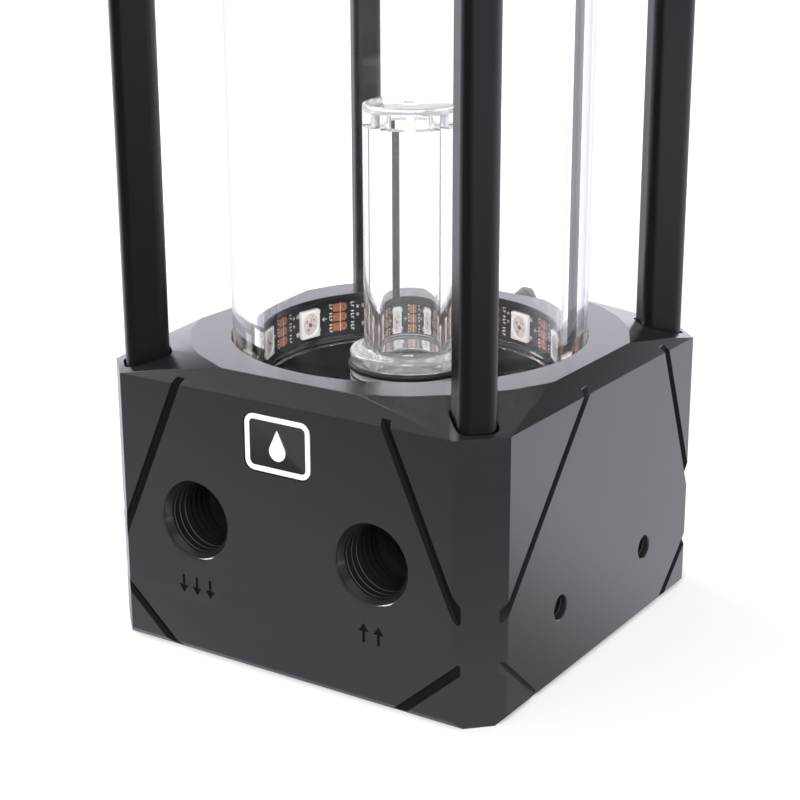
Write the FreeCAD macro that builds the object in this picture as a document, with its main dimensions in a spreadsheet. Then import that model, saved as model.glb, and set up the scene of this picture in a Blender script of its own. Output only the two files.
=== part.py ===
import FreeCAD, Part
import math
import os
import Sketcher
from FreeCAD import Placement, Rotation, Vector

# Coolant pump with a tube reservoir, in millimetres
# Origin at the middle of the underside, Z up, side ports towards -Y

doc = FreeCAD.newDocument("coolant_pump_reservoir")
dims = doc.addObject("Spreadsheet::Sheet", "dims")
rows = []


def size(name, value):
    rows.append(name)
    cell = "B%d" % len(rows)
    dims.set("A%d" % len(rows), name)
    dims.set(cell, str(value))
    dims.setAlias(cell, name)


# Base block outside
size("block_half", 38)
size("corner_cut", 6.2)
size("disc_top", 49.7)
size("disc_radius", 37.3)
size("cone_slope", 0.253)
size("cone_reach", 52)
size("bevel_leg", 3.1)
size("foot_bevel", 1.35)
size("cut_margin", 1)

# Mouth, lamp recess, well and pump cavity
size("mouth_radius", 30.35)
size("lip_height", 1)
size("recess_radius", 32.2)
size("ledge_level", 41.1)
size("well_radius", 26.5)
size("shelf_level", 34.3)
size("chamber_radius", 22)
size("chamber_level", 31.5)
size("eye_radius", 6)
size("volute_roof", 27.8)
size("volute_radius", 17.2)
size("pocket_roof", 18.6)
size("pocket_radius", 28)

# Seals under and over the tube
size("tube_seal_ring", 28.3)
size("tube_seal_thick", 0.9)
size("tube_seal_groove", 2.2)

# Side ports and channels
size("port_place", 17.23)
size("port_level", 23.9)
size("port_radius", 6.5785)
size("port_length", 12)
size("port_mouth", 6.85)
size("channel_radius", 3.8)
size("outlet_stop", -2)
size("inlet_stop", -15.6)
size("riser_place", 16.2)
size("riser_radius", 3.2)
size("riser_wall", 1.6)

# Threaded holes of the right face
size("side_hole_place", 15)
size("side_hole_level", 13.25)
size("side_hole_radius", 2)
size("side_hole_length", 9)
size("side_hole_mouth", 2.2)

# Slanting side grooves, centre lines run past the edges
size("slot_wide", 1.6)
size("slot_deep", 1)
size("front_long_x", 19.2)
size("front_long_z", 48.6)
size("front_edge_x", 33)
size("front_edge_z", 17.6)
size("side_near_y", -6.1)
size("side_near_z", 48.7)
size("side_edge_y", -33.1)
size("side_edge_z", 17.6)
size("side_far_y", 20.4)
size("side_far_z", 48.6)
size("side_stop_y", 33)
size("side_stop_z", 18.6)
size("short_edge", 33)
size("short_edge_z", 10.2)
size("short_foot", 21.1)
size("short_foot_z", -0.4)

# Rods and their sockets, long side along the diagonal
size("rod_place", 31.4)
size("rod_long", 7.1)
size("rod_wide", 5.9)
size("rod_corner", 1.6)
size("socket_deep", 8.7)
size("rod_thread", 2)
size("rod_thread_length", 12)
size("socket_gap", 0.4)

# Rod screws
size("screw_gap", 0.2)
size("screw_head", 3.5)
size("screw_head_tall", 4)
size("screw_seat", 4.6)
size("screw_length", 45)
size("screw_head_gap", 0.4)
size("screw_key", 1.73)
size("screw_key_deep", 2)
size("screw_bite", 10)

# Lamp lead hole and cable notch in the back
size("lead_radius", 1.9)
size("lead_level", 44.4)
size("lead_wire", 2.1)
size("lead_slack", 0.05)
size("lead_flange", 2.7)
size("lead_flange_thick", 0.7)
size("notch_half", 4)
size("notch_tall", 5.5)
size("notch_bore", 1.6)
size("fit_gap", 0.1)

# Connector on the end of the lamp lead
size("connector_long", 14)
size("connector_wide", 9)
size("connector_tall", 5.6)
size("connector_wall", 0.9)
size("connector_mouth", 7)
size("connector_sleeve", 2)
size("connector_pin", 0.64)
size("connector_pitch", 2.54)
size("latch_long", 6)
size("latch_wide", 3)
size("latch_tall", 0.8)

# Reservoir tube
size("tube_outer", 30)
size("tube_inner", 26)
size("tube_length", 150)

# Lamp ring
size("strip_inner", 31.75)
size("strip_foot", 41.5)
size("strip_tall", 7)
size("chip_count", 12)
size("chip_side", 5.1)
size("chip_face", 30.25)
size("chip_back", 31.6)
size("chip_level", 45.2)

# Floor plate
size("plate_gap", 0.1)
size("plate_bore", 9.8)
size("plate_web", 1)
size("slot_start", 12.5)
size("slot_end", 20)
size("slot_half", 1.5)
size("feed_wide", 6.4)
size("feed_tall", 2.4)

# Standpipe
size("pipe_outer", 7.83)
size("pipe_inner", 5)
size("spigot_length", 3)
size("pipe_top", 87.3)
size("cap_thick", 1.3)
size("spigot_radius", 9.5)
size("flange_radius", 10.25)
size("flange_top", 47.6)
size("flange_base", 44.6)
size("ring_thick", 0.7)
size("window_tall", 2.4)
size("window_half", 15)
size("window_turn", 10.5)
size("collar_radius", 8.9)
size("collar_top", 48.5)

# Top cap
size("cap_grip", 8)
size("cap_height", 23)
size("cap_hollow", 24.6)
size("cap_head_room", 5)
size("cap_socket", 7)

# Fill plug
size("plug_gap", 0.0485)
size("plug_length", 8)
size("plug_head", 8.75)
size("plug_head_tall", 4)
size("plug_head_gap", 0.2)
size("plug_edge", 0.6)
size("plug_ring", 7.6)
size("plug_ring_thick", 0.75)
size("plug_key", 3.46)
size("plug_key_deep", 3.2)

# Pump
size("pump_foot", 0.8)
size("pump_radius", 27.7)
size("pump_hollow", 21.4)
size("pump_step", 20.4)
size("pump_step_level", 2.8)
size("pump_ceiling", 14.6)
size("pump_dome", 16.9)
size("pump_dome_top", 19.4)
size("pump_boss", 3.4)
size("pump_boss_top", 20)
size("pump_ring", 20.2)
size("pump_bolt_place", 24.7)
size("pump_bolt_radius", 1.25)
size("pump_bolt_gap", 0.1)
size("pump_bolt_head", 2.25)
size("pump_bolt_head_tall", 2.5)
size("pump_bolt_seat", 13)
size("pump_bolt_length", 11)
size("pump_bolt_key", 1.15)
size("pump_bolt_key_deep", 1.3)

# Impeller and shaft
size("shaft_radius", 1.5)
size("shaft_foot", 16.6)
size("shaft_top", 26.9)
size("shaft_gap", 0.05)
size("hub_radius", 4.2)
size("hub_foot", 20.2)
size("hub_top", 26.2)
size("disc_rim", 14.6)
size("disc_thick", 1.2)
size("blade_count", 6)
size("blade_root", 3.6)
size("blade_tip", 14.4)
size("blade_sweep", 62)
size("blade_half", 4)
size("blade_top", 26.2)

doc.recompute()


def number(expression):
    return float(dims.evalExpression(expression))


def new_body(label):
    body = doc.addObject("PartDesign::Body", label)
    body.Label = label
    body.AllowCompound = True
    return body


def origin_part(body, role):
    return [part for part in body.Origin.OriginFeatures if part.Role == role][0]


def sketch_on(body, role, name, lift="0", turn="0"):
    sketch = body.newObject("Sketcher::SketchObject", name)
    sketch.AttachmentSupport = [(origin_part(body, role), "")]
    sketch.MapMode = "FlatFace"
    spin = Rotation(Vector(0, 0, 1), number(turn))
    sketch.AttachmentOffset = Placement(Vector(0, 0, 0), spin)
    if lift != "0":
        sketch.setExpression("AttachmentOffset.Base.z", lift)
    return sketch


def hold_point(sketch, line, end, across, along):
    for kind, axis, text in (("DistanceX", -2, across), ("DistanceY", -1, along)):
        if text == "0":
            sketch.addConstraint(Sketcher.Constraint("PointOnObject", line, end, axis))
        else:
            at = sketch.addConstraint(
                Sketcher.Constraint(kind, -1, 1, line, end, number(text))
            )
            sketch.setExpression("Constraints[%d]" % at, text)


def polygon(sketch, corners):
    first = sketch.GeometryCount
    count = len(corners)
    spots = [Vector(number(across), number(along), 0) for across, along in corners]
    for step in range(count):
        line = Part.LineSegment(spots[step], spots[(step + 1) % count])
        sketch.addGeometry(line, False)
    for step in range(count):
        follower = first + (step + 1) % count
        sketch.addConstraint(
            Sketcher.Constraint("Coincident", first + step, 2, follower, 1)
        )
    for step, (across, along) in enumerate(corners):
        hold_point(sketch, first + step, 1, across, along)


def rounded_oblong(sketch, place, long_half, wide_half, corner):
    # Straight sides first, then a quarter turn at each corner
    first = sketch.GeometryCount
    side_x = "(%s)" % long_half
    side_y = "(%s)" % wide_half
    bend = "(%s)" % corner
    runs = (
        (("-", bend, "+"), ("-", "", "-"), ("+", bend, "-"), ("-", "", "-")),
        (("+", "", "+"), ("-", bend, "+"), ("+", "", "+"), ("+", bend, "-")),
        (("+", bend, "-"), ("+", "", "+"), ("-", bend, "+"), ("+", "", "+")),
        (("-", "", "-"), ("+", bend, "-"), ("-", "", "-"), ("-", bend, "+")),
    )

    def spot(base, mark):
        sign, inset, way = mark
        text = "%s%s" % (sign, base)
        if inset:
            text = "%s %s %s" % (text, way, inset)
        return text

    ends = []
    for start_x, start_y, end_x, end_y in runs:
        ends.append(
            (
                "%s + %s" % (place, spot(side_x, start_x).lstrip("+")),
                spot(side_y, start_y).lstrip("+"),
                "%s + %s" % (place, spot(side_x, end_x).lstrip("+")),
                spot(side_y, end_y).lstrip("+"),
            )
        )
    for start_x, start_y, end_x, end_y in ends:
        begin = Vector(number(start_x), number(start_y), 0)
        finish = Vector(number(end_x), number(end_y), 0)
        sketch.addGeometry(Part.LineSegment(begin, finish), False)
    for step, (start_x, start_y, end_x, end_y) in enumerate(ends):
        hold_point(sketch, first + step, 1, start_x, start_y)
        hold_point(sketch, first + step, 2, end_x, end_y)
    for step in range(4):
        begin = sketch.Geometry[first + step].EndPoint
        finish = sketch.Geometry[first + (step + 1) % 4].StartPoint
        way = (begin - sketch.Geometry[first + step].StartPoint).normalize()
        centre = finish - way * number(corner)
        middle = centre + (begin + finish - centre * 2).normalize() * number(corner)
        arc = Part.Arc(begin, middle, finish)
        at = sketch.addGeometry(arc, False)
        sketch.addConstraint(Sketcher.Constraint("Coincident", at, 1, first + step, 2))
        follower = first + (step + 1) % 4
        sketch.addConstraint(Sketcher.Constraint("Coincident", at, 2, follower, 1))
        row = sketch.addConstraint(Sketcher.Constraint("Radius", at, number(corner)))
        sketch.setExpression("Constraints[%d]" % row, corner)


def strip(sketch, start, end, width):
    # Rectangle of a given width laid on a centre line
    first = sketch.GeometryCount
    head = Vector(number(start[0]), number(start[1]), 0)
    tail = Vector(number(end[0]), number(end[1]), 0)
    way = (tail - head).normalize()
    side = Vector(-way.y, way.x, 0) * (number(width) / 2)
    spots = (head - side, tail - side, tail + side, head + side)
    sketch.addGeometry(Part.LineSegment(head, tail), True)
    hold_point(sketch, first, 1, start[0], start[1])
    hold_point(sketch, first, 2, end[0], end[1])
    for step in range(4):
        line = Part.LineSegment(spots[step], spots[(step + 1) % 4])
        sketch.addGeometry(line, False)
    for step in range(4):
        follower = first + 1 + (step + 1) % 4
        sketch.addConstraint(
            Sketcher.Constraint("Coincident", first + 1 + step, 2, follower, 1)
        )
    for line, end_of_line in ((first + 2, 2), (first + 4, 1)):
        sketch.addConstraint(Sketcher.Constraint("Perpendicular", line, first))
        row = sketch.addConstraint(Sketcher.Constraint("Distance", line, number(width)))
        sketch.setExpression("Constraints[%d]" % row, width)
        sketch.addConstraint(
            Sketcher.Constraint("Symmetric", line, 1, line, 2, first, end_of_line)
        )


def pad(body, sketch, name, length):
    part = body.newObject("PartDesign::Pad", name)
    part.Profile = sketch
    part.setExpression("Length", length)
    doc.recompute()
    return part


def pocket(body, sketch, name, length, symmetric=False):
    before = body.Shape.Volume
    part = body.newObject("PartDesign::Pocket", name)
    part.Profile = sketch
    part.setExpression("Length", length)
    if symmetric:
        part.SideType = "Symmetric"
    doc.recompute()
    if body.Shape.Volume >= before:
        part.Reversed = True
        doc.recompute()
    return part


def turned(body, kind, name, corners):
    sketch = sketch_on(body, "XZ_Plane", name + "_section")
    polygon(sketch, corners)
    part = body.newObject("PartDesign::" + kind, name)
    part.Profile = sketch
    part.ReferenceAxis = (sketch, ["V_Axis"])
    part.Angle = 360
    doc.recompute()
    return part


def place_part(part, spot, axis=Vector(0, 0, 1), angle=0):
    part.Placement = Placement(Vector(0, 0, 0), Rotation(axis, angle))
    for letter, text in zip("xyz", spot):
        if text != "0":
            part.setExpression("Placement.Base." + letter, text)


def primitive(body, kind, name, values, spot, axis=Vector(0, 0, 1), angle=0):
    part = body.newObject("PartDesign::" + kind, name)
    for key, text in values.items():
        part.setExpression(key, text)
    place_part(part, spot, axis, angle)
    doc.recompute()
    return part


def around(body, name, parts, count, angle="360"):
    part = body.newObject("PartDesign::PolarPattern", name)
    part.Originals = parts
    part.Axis = (origin_part(body, "Z_Axis"), [""])
    part.setExpression("Angle", angle)
    part.setExpression("Occurrences", count)
    body.Tip = part
    doc.recompute()
    return part


def seal(label, radius, thick, level):
    # Ring of octagonal section, its middle at the given radius and level
    body = new_body(label)
    flat = "(%s) * tan(22.5)" % thick
    near = "%s - (%s)" % (radius, thick)
    far = "%s + (%s)" % (radius, thick)
    low = "%s - (%s)" % (level, thick)
    high = "%s + (%s)" % (level, thick)
    turned(
        body,
        "Revolution",
        label + "_ring",
        [
            ("%s - %s" % (radius, flat), low),
            ("%s + %s" % (radius, flat), low),
            (far, "%s - %s" % (level, flat)),
            (far, "%s + %s" % (level, flat)),
            ("%s + %s" % (radius, flat), high),
            ("%s - %s" % (radius, flat), high),
            (near, "%s + %s" % (level, flat)),
            (near, "%s - %s" % (level, flat)),
        ],
    )


into_front = (Vector(1, 0, 0), -90)
into_right = (Vector(0, 1, 0), -90)
into_back = (Vector(1, 0, 0), 90)
into_left = (Vector(0, 1, 0), 90)
half = "dims.block_half"
cut = "dims.block_half - dims.corner_cut"
margin = "dims.cut_margin"
diagonal = "dims.rod_place * sqrt(2)"
fourth_turn = (("", ""), ("-", ""), ("-", "-"), ("", "-"))


def octagon(sketch):
    corners = []
    for sign_x, sign_y in fourth_turn:
        long_x = "%s(%s)" % (sign_x, half)
        long_y = "%s(%s)" % (sign_y, half)
        short_x = "%s(%s)" % (sign_x, cut)
        short_y = "%s(%s)" % (sign_y, cut)
        pair = [(long_x, short_y), (short_x, long_y)]
        if sign_x != sign_y:
            pair.reverse()
        corners.extend(pair)
    polygon(sketch, corners)


def edge_bevels(body, name, level, leg, way):
    # Straight 45 degree bevels on the four main sides
    for role in ("XZ_Plane", "YZ_Plane"):
        sketch = sketch_on(body, role, "%s_%s" % (name, role[:2].lower()))
        for side in ("", "-"):
            inner = "%s(%s - (%s) - (%s))" % (side, half, leg, margin)
            outer = "%s(%s + (%s))" % (side, half, margin)
            edge = "%s %s (%s)" % (level, way, margin)
            low = "%s %s (-(%s) - (%s))" % (level, way, leg, margin)
            polygon(sketch, [(inner, edge), (outer, edge), (outer, low)])
        pocket(body, sketch, sketch.Name + "_cut", "3 * (%s)" % half, symmetric=True)


def sloped_top(body, name, top):
    drop = "%s - dims.cone_slope * (dims.cone_reach - dims.disc_radius)" % top
    turned(
        body,
        "Groove",
        name + "_cone",
        [
            ("dims.disc_radius", top),
            ("dims.cone_reach", drop),
            ("dims.cone_reach", "%s + dims.cut_margin" % top),
            ("dims.disc_radius", "%s + dims.cut_margin" % top),
        ],
    )
    edge_bevels(body, name + "_bevel", top, "dims.bevel_leg", "+")


# Base block
base = new_body("base_block")
outline = sketch_on(base, "XY_Plane", "block_outline")
octagon(outline)
pad(base, outline, "block_solid", "dims.disc_top")
sloped_top(base, "block", "dims.disc_top")
edge_bevels(base, "foot", "0", "dims.foot_bevel", "-")
turned(
    base,
    "Groove",
    "block_hollow",
    [
        ("0", "dims.disc_top + dims.cut_margin"),
        ("dims.mouth_radius", "dims.disc_top + dims.cut_margin"),
        ("dims.mouth_radius", "dims.disc_top - dims.lip_height"),
        ("dims.recess_radius", "dims.disc_top - dims.lip_height"),
        ("dims.recess_radius", "dims.ledge_level"),
        ("dims.well_radius", "dims.ledge_level"),
        ("dims.well_radius", "dims.shelf_level"),
        ("dims.chamber_radius", "dims.shelf_level"),
        ("dims.chamber_radius", "dims.chamber_level"),
        ("dims.eye_radius", "dims.chamber_level"),
        ("dims.eye_radius", "dims.volute_roof"),
        ("dims.volute_radius", "dims.volute_roof"),
        ("dims.volute_radius", "dims.pocket_roof"),
        ("dims.pocket_radius", "dims.pocket_roof"),
        ("dims.pocket_radius", "-dims.cut_margin"),
        ("0", "-dims.cut_margin"),
    ],
)


def seal_groove(body, name, middle, level, way):
    near = "%s - dims.tube_seal_groove / 2" % middle
    far = "%s + dims.tube_seal_groove / 2" % middle
    bottom = "%s %s 2 * dims.tube_seal_thick" % (level, way)
    turned(body, "Groove", name, [(near, bottom), (far, bottom), (far, level), (near, level)])


seal_groove(base, "tube_groove", "dims.tube_seal_ring", "dims.ledge_level", "-")

# Rod sockets and the screw holes under them
socket_sketch = sketch_on(base, "XY_Plane", "socket_outline", "dims.disc_top", "45")
rounded_oblong(
    socket_sketch,
    diagonal,
    "dims.rod_long / 2 + dims.socket_gap",
    "dims.rod_wide / 2 + dims.socket_gap",
    "dims.rod_corner + dims.socket_gap",
)
socket = pocket(base, socket_sketch, "rod_socket", "dims.socket_deep")
corner_hole = primitive(
    base,
    "SubtractiveCylinder",
    "rod_screw_hole",
    {"Radius": "dims.rod_thread + dims.screw_gap", "Height": "dims.disc_top"},
    ("dims.rod_place", "dims.rod_place", "0"),
)
corner_seat = primitive(
    base,
    "SubtractiveCylinder",
    "rod_screw_seat",
    {"Radius": "dims.screw_head + dims.screw_head_gap", "Height": "dims.screw_seat"},
    ("dims.rod_place", "dims.rod_place", "0"),
)
around(base, "rod_sockets", [socket, corner_hole, corner_seat], "4")

# Ports, channels and the riser to the standpipe
for name, sign, stop in (("outlet", "-", "dims.outlet_stop"), ("inlet", "", "dims.inlet_stop")):
    across = "%sdims.port_place" % sign
    front = (across, "-dims.block_half", "dims.port_level")
    primitive(
        base,
        "SubtractiveCylinder",
        name + "_bore",
        {"Radius": "dims.port_radius", "Height": "dims.port_length"},
        front,
        *into_front,
    )
    primitive(
        base,
        "SubtractiveCone",
        name + "_mouth",
        {
            "Radius1": "dims.port_mouth",
            "Radius2": "dims.port_radius",
            "Height": "dims.port_mouth - dims.port_radius",
        },
        front,
        *into_front,
    )
    primitive(
        base,
        "SubtractiveCylinder",
        name + "_channel",
        {"Radius": "dims.channel_radius", "Height": "dims.block_half + %s" % stop},
        front,
        *into_front,
    )
primitive(
    base,
    "AdditiveCylinder",
    "riser_boss",
    {
        "Radius": "dims.riser_radius + dims.riser_wall",
        "Height": "dims.shelf_level - dims.chamber_level + 1",
    },
    ("dims.riser_place", "dims.inlet_stop", "dims.chamber_level - 1"),
)
primitive(
    base,
    "SubtractiveCylinder",
    "riser_bore",
    {"Radius": "dims.riser_radius", "Height": "dims.shelf_level - dims.port_level"},
    ("dims.riser_place", "dims.inlet_stop", "dims.port_level"),
)

# Threaded holes of the right face
for name, sign in (("near", "-"), ("far", "")):
    mouth = (half, "%sdims.side_hole_place" % sign, "dims.side_hole_level")
    primitive(
        base,
        "SubtractiveCylinder",
        name + "_side_hole",
        {"Radius": "dims.side_hole_radius", "Height": "dims.side_hole_length"},
        mouth,
        *into_right,
    )
    primitive(
        base,
        "SubtractiveCone",
        name + "_side_mouth",
        {
            "Radius1": "dims.side_hole_mouth",
            "Radius2": "dims.side_hole_radius",
            "Height": "dims.side_hole_mouth - dims.side_hole_radius",
        },
        mouth,
        *into_right,
    )

# Slanting grooves, repeated half a turn round
front_sketch = sketch_on(base, "XZ_Plane", "front_grooves", half)
right_sketch = sketch_on(base, "YZ_Plane", "right_grooves", half)
for sign in ("", "-"):
    strip(
        front_sketch,
        (sign + "dims.front_long_x", "dims.front_long_z"),
        (sign + "dims.front_edge_x", "dims.front_edge_z"),
        "dims.slot_wide",
    )
    for sketch in (front_sketch, right_sketch):
        strip(
            sketch,
            (sign + "dims.short_edge", "dims.short_edge_z"),
            (sign + "dims.short_foot", "dims.short_foot_z"),
            "dims.slot_wide",
        )
strip(
    right_sketch,
    ("dims.side_near_y", "dims.side_near_z"),
    ("dims.side_edge_y", "dims.side_edge_z"),
    "dims.slot_wide",
)
strip(
    right_sketch,
    ("dims.side_far_y", "dims.side_far_z"),
    ("dims.side_stop_y", "dims.side_stop_z"),
    "dims.slot_wide",
)
front_cut = pocket(base, front_sketch, "front_groove_cut", "dims.slot_deep")
right_cut = pocket(base, right_sketch, "right_groove_cut", "dims.slot_deep")
around(base, "all_grooves", [front_cut, right_cut], "2")

# Pump screw holes, lamp lead hole and cable notch
bolt_hole = primitive(
    base,
    "SubtractiveCylinder",
    "pump_bolt_hole",
    {
        "Radius": "dims.pump_bolt_radius",
        "Height": "dims.pump_bolt_seat + dims.pump_bolt_length - dims.pocket_roof",
    },
    ("dims.pump_bolt_place", "0", "dims.pocket_roof"),
)
around(base, "pump_bolt_holes", [bolt_hole], "4")
primitive(
    base,
    "SubtractiveCylinder",
    "lead_hole",
    {"Radius": "dims.lead_radius", "Height": "dims.block_half - dims.strip_inner + 0.5"},
    ("0", half, "dims.lead_level"),
    *into_back,
)
primitive(
    base,
    "SubtractiveBox",
    "cable_notch",
    {
        "Length": "2 * dims.notch_half",
        "Width": "dims.block_half - dims.pocket_radius + 2",
        "Height": "dims.notch_tall + 1",
    },
    ("-dims.notch_half", "dims.pocket_radius - 1", "-1"),
)

# Reservoir tube
tube = new_body("reservoir_tube")
primitive(
    tube,
    "AdditiveCylinder",
    "tube_solid",
    {"Radius": "dims.tube_outer", "Height": "dims.tube_length"},
    ("0", "0", "dims.ledge_level"),
)
primitive(
    tube,
    "SubtractiveCylinder",
    "tube_bore",
    {"Radius": "dims.tube_inner", "Height": "dims.tube_length"},
    ("0", "0", "dims.ledge_level"),
)
tube_end = "dims.ledge_level + dims.tube_length"
seal(
    "tube_seal_lower",
    "dims.tube_seal_ring",
    "dims.tube_seal_thick",
    "dims.ledge_level - dims.tube_seal_thick",
)
seal(
    "tube_seal_upper",
    "dims.tube_seal_ring",
    "dims.tube_seal_thick",
    "%s + dims.tube_seal_thick" % tube_end,
)

# Lamp ring on the wall of the recess
lamp_strip = new_body("led_strip")
turned(
    lamp_strip,
    "Revolution",
    "strip_ring",
    [
        ("dims.strip_inner", "dims.strip_foot"),
        ("dims.recess_radius", "dims.strip_foot"),
        ("dims.recess_radius", "dims.strip_foot + dims.strip_tall"),
        ("dims.strip_inner", "dims.strip_foot + dims.strip_tall"),
    ],
)
chips = new_body("led_chips")
chip = primitive(
    chips,
    "AdditiveBox",
    "chip",
    {
        "Length": "dims.chip_back - dims.chip_face",
        "Width": "dims.chip_side",
        "Height": "dims.chip_side",
    },
    ("dims.chip_face", "-dims.chip_side / 2", "dims.chip_level - dims.chip_side / 2"),
)
around(chips, "chip_ring", [chip], "dims.chip_count")
chips.Placement = Placement(Vector(), Rotation(Vector(0, 0, 1), number("180 / dims.chip_count")))

# Floor plate held under the inner edge of the tube
plate = new_body("floor_plate")
turned(
    plate,
    "Revolution",
    "plate_solid",
    [
        ("0", "dims.shelf_level"),
        ("dims.well_radius - dims.plate_gap", "dims.shelf_level"),
        ("dims.well_radius - dims.plate_gap", "dims.ledge_level"),
        ("dims.plate_bore", "dims.ledge_level"),
        ("dims.plate_bore", "dims.shelf_level + dims.plate_web"),
        ("0", "dims.shelf_level + dims.plate_web"),
    ],
)
primitive(
    plate,
    "SubtractiveCylinder",
    "plate_riser",
    {"Radius": "dims.riser_radius", "Height": "dims.plate_web + dims.feed_tall"},
    ("dims.riser_place", "dims.inlet_stop", "dims.shelf_level"),
)
feed = primitive(
    plate,
    "SubtractiveBox",
    "plate_feed",
    {
        "Length": "sqrt(dims.riser_place ^ 2 + dims.inlet_stop ^ 2)",
        "Width": "dims.feed_wide",
        "Height": "dims.feed_tall",
    },
    ("0", "0", "dims.shelf_level + dims.plate_web"),
    Vector(0, 0, 1),
    number("atan(dims.inlet_stop / dims.riser_place)"),
)
feed.setExpression("Placement.Base.x", "sin(atan(dims.inlet_stop / dims.riser_place)) * dims.feed_wide / 2")
feed.setExpression("Placement.Base.y", "-cos(atan(dims.inlet_stop / dims.riser_place)) * dims.feed_wide / 2")
intake_sketch = sketch_on(plate, "XY_Plane", "intake_outline", "dims.ledge_level", "-151")
polygon(
    intake_sketch,
    [
        ("dims.slot_start", "-dims.slot_half"),
        ("dims.slot_end", "-dims.slot_half"),
        ("dims.slot_end", "dims.slot_half"),
        ("dims.slot_start", "dims.slot_half"),
    ],
)
intake = pocket(plate, intake_sketch, "intake_slot", "dims.ledge_level - dims.shelf_level + 1")
around(plate, "intake_slots", [intake], "4", "66")

# Standpipe with a stepped foot and a crown of windows
pipe = new_body("standpipe")
ring_one = "dims.flange_base - dims.ring_thick"
ring_two = "dims.flange_base - 2 * dims.ring_thick"
ring_three = "dims.flange_base - 3 * dims.ring_thick"
turned(
    pipe,
    "Revolution",
    "pipe_solid",
    [
        ("dims.pipe_inner", "dims.ledge_level - dims.spigot_length"),
        ("dims.spigot_radius", "dims.ledge_level - dims.spigot_length"),
        ("dims.spigot_radius", "dims.ledge_level"),
        ("dims.flange_radius", "dims.ledge_level"),
        ("dims.flange_radius", ring_three),
        ("dims.spigot_radius", ring_three),
        ("dims.spigot_radius", ring_two),
        ("dims.flange_radius", ring_two),
        ("dims.flange_radius", ring_one),
        ("dims.spigot_radius", ring_one),
        ("dims.spigot_radius", "dims.flange_base"),
        ("dims.flange_radius", "dims.flange_base"),
        ("dims.flange_radius", "dims.flange_top"),
        ("dims.collar_radius", "dims.flange_top"),
        ("dims.pipe_outer", "dims.collar_top"),
        ("dims.pipe_outer", "dims.pipe_top"),
        ("dims.pipe_inner", "dims.pipe_top"),
    ],
)
window_foot = "dims.pipe_top - dims.window_tall"
window_sketch = sketch_on(pipe, "XY_Plane", "window_outline", window_foot, "dims.window_turn")
window_near = "(dims.pipe_inner - 1)"
window_far = "(dims.pipe_outer + 1)"
polygon(
    window_sketch,
    [
        (window_near, "-%s * tan(dims.window_half)" % window_near),
        (window_far, "-%s * tan(dims.window_half)" % window_far),
        (window_far, "%s * tan(dims.window_half)" % window_far),
        (window_near, "%s * tan(dims.window_half)" % window_near),
    ],
)
window = pocket(pipe, window_sketch, "window", "dims.window_tall + 1")
window.Reversed = True
doc.recompute()
around(pipe, "windows", [window], "8")

pipe_cap = new_body("standpipe_cap")
turned(
    pipe_cap,
    "Revolution",
    "pipe_cap_solid",
    [
        ("0", "dims.pipe_top"),
        ("dims.pipe_outer", "dims.pipe_top"),
        ("dims.pipe_outer", "dims.pipe_top + dims.cap_thick - 0.6"),
        ("dims.pipe_outer - 0.2", "dims.pipe_top + dims.cap_thick - 0.2"),
        ("dims.pipe_outer - 0.6", "dims.pipe_top + dims.cap_thick"),
        ("0", "dims.pipe_top + dims.cap_thick"),
    ],
)
seal_middle = "(dims.spigot_radius + dims.ring_thick / 2)"
for name, floor in (("standpipe_seal_upper", ring_one), ("standpipe_seal_lower", ring_three)):
    seal(name, seal_middle, "dims.ring_thick / 2", "%s + dims.ring_thick / 2" % floor)

# Rods from the base block to the cap
cap_foot = "(dims.ledge_level + dims.tube_length - dims.cap_grip)"
rod_end = cap_foot + " + dims.cap_socket"
rod_places = (
    ("rod_front_left", "-", "-", 45),
    ("rod_front_right", "", "-", -45),
    ("rod_back_left", "-", "", -45),
    ("rod_back_right", "", "", 45),
)
for label, sign_x, sign_y, angle in rod_places:
    rod = new_body(label)
    section = sketch_on(rod, "XY_Plane", label + "_section")
    rounded_oblong(section, "0", "dims.rod_long / 2", "dims.rod_wide / 2", "dims.rod_corner")
    pad(rod, section, label + "_solid", "%s - (dims.disc_top - dims.socket_deep)" % rod_end)
    tap = {"Radius": "dims.rod_thread", "Height": "dims.rod_thread_length"}
    primitive(rod, "SubtractiveCylinder", label + "_foot_hole", tap, ("0", "0", "0"))
    top_tap = ("0", "0", "%s - (dims.disc_top - dims.socket_deep) - dims.rod_thread_length" % rod_end)
    primitive(rod, "SubtractiveCylinder", label + "_top_hole", tap, top_tap)
    spot = (sign_x + "dims.rod_place", sign_y + "dims.rod_place", "dims.disc_top - dims.socket_deep")
    place_part(rod, spot, Vector(0, 0, 1), angle)

# Top cap
cap_top = cap_foot + " + dims.cap_height"
cap = new_body("top_cap")
cap_outline = sketch_on(cap, "XY_Plane", "cap_outline", cap_foot)
octagon(cap_outline)
pad(cap, cap_outline, "cap_solid", "dims.cap_height")
sloped_top(cap, "cap", cap_top)
edge_bevels(cap, "cap_foot", cap_foot, "dims.foot_bevel", "-")
turned(
    cap,
    "Groove",
    "cap_hollow",
    [
        ("0", cap_foot + " - dims.cut_margin"),
        ("dims.mouth_radius", cap_foot + " - dims.cut_margin"),
        ("dims.mouth_radius", tube_end),
        ("dims.cap_hollow", tube_end),
        ("dims.cap_hollow", "dims.ledge_level + dims.tube_length + dims.cap_head_room"),
        ("dims.port_radius", "dims.ledge_level + dims.tube_length + dims.cap_head_room"),
        ("dims.port_radius", "%s + dims.cut_margin" % cap_top),
        ("0", "%s + dims.cut_margin" % cap_top),
    ],
)
seal_groove(cap, "cap_groove", "dims.tube_seal_ring", tube_end, "+")
cap_socket_sketch = sketch_on(cap, "XY_Plane", "cap_socket_outline", rod_end, "45")
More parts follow.
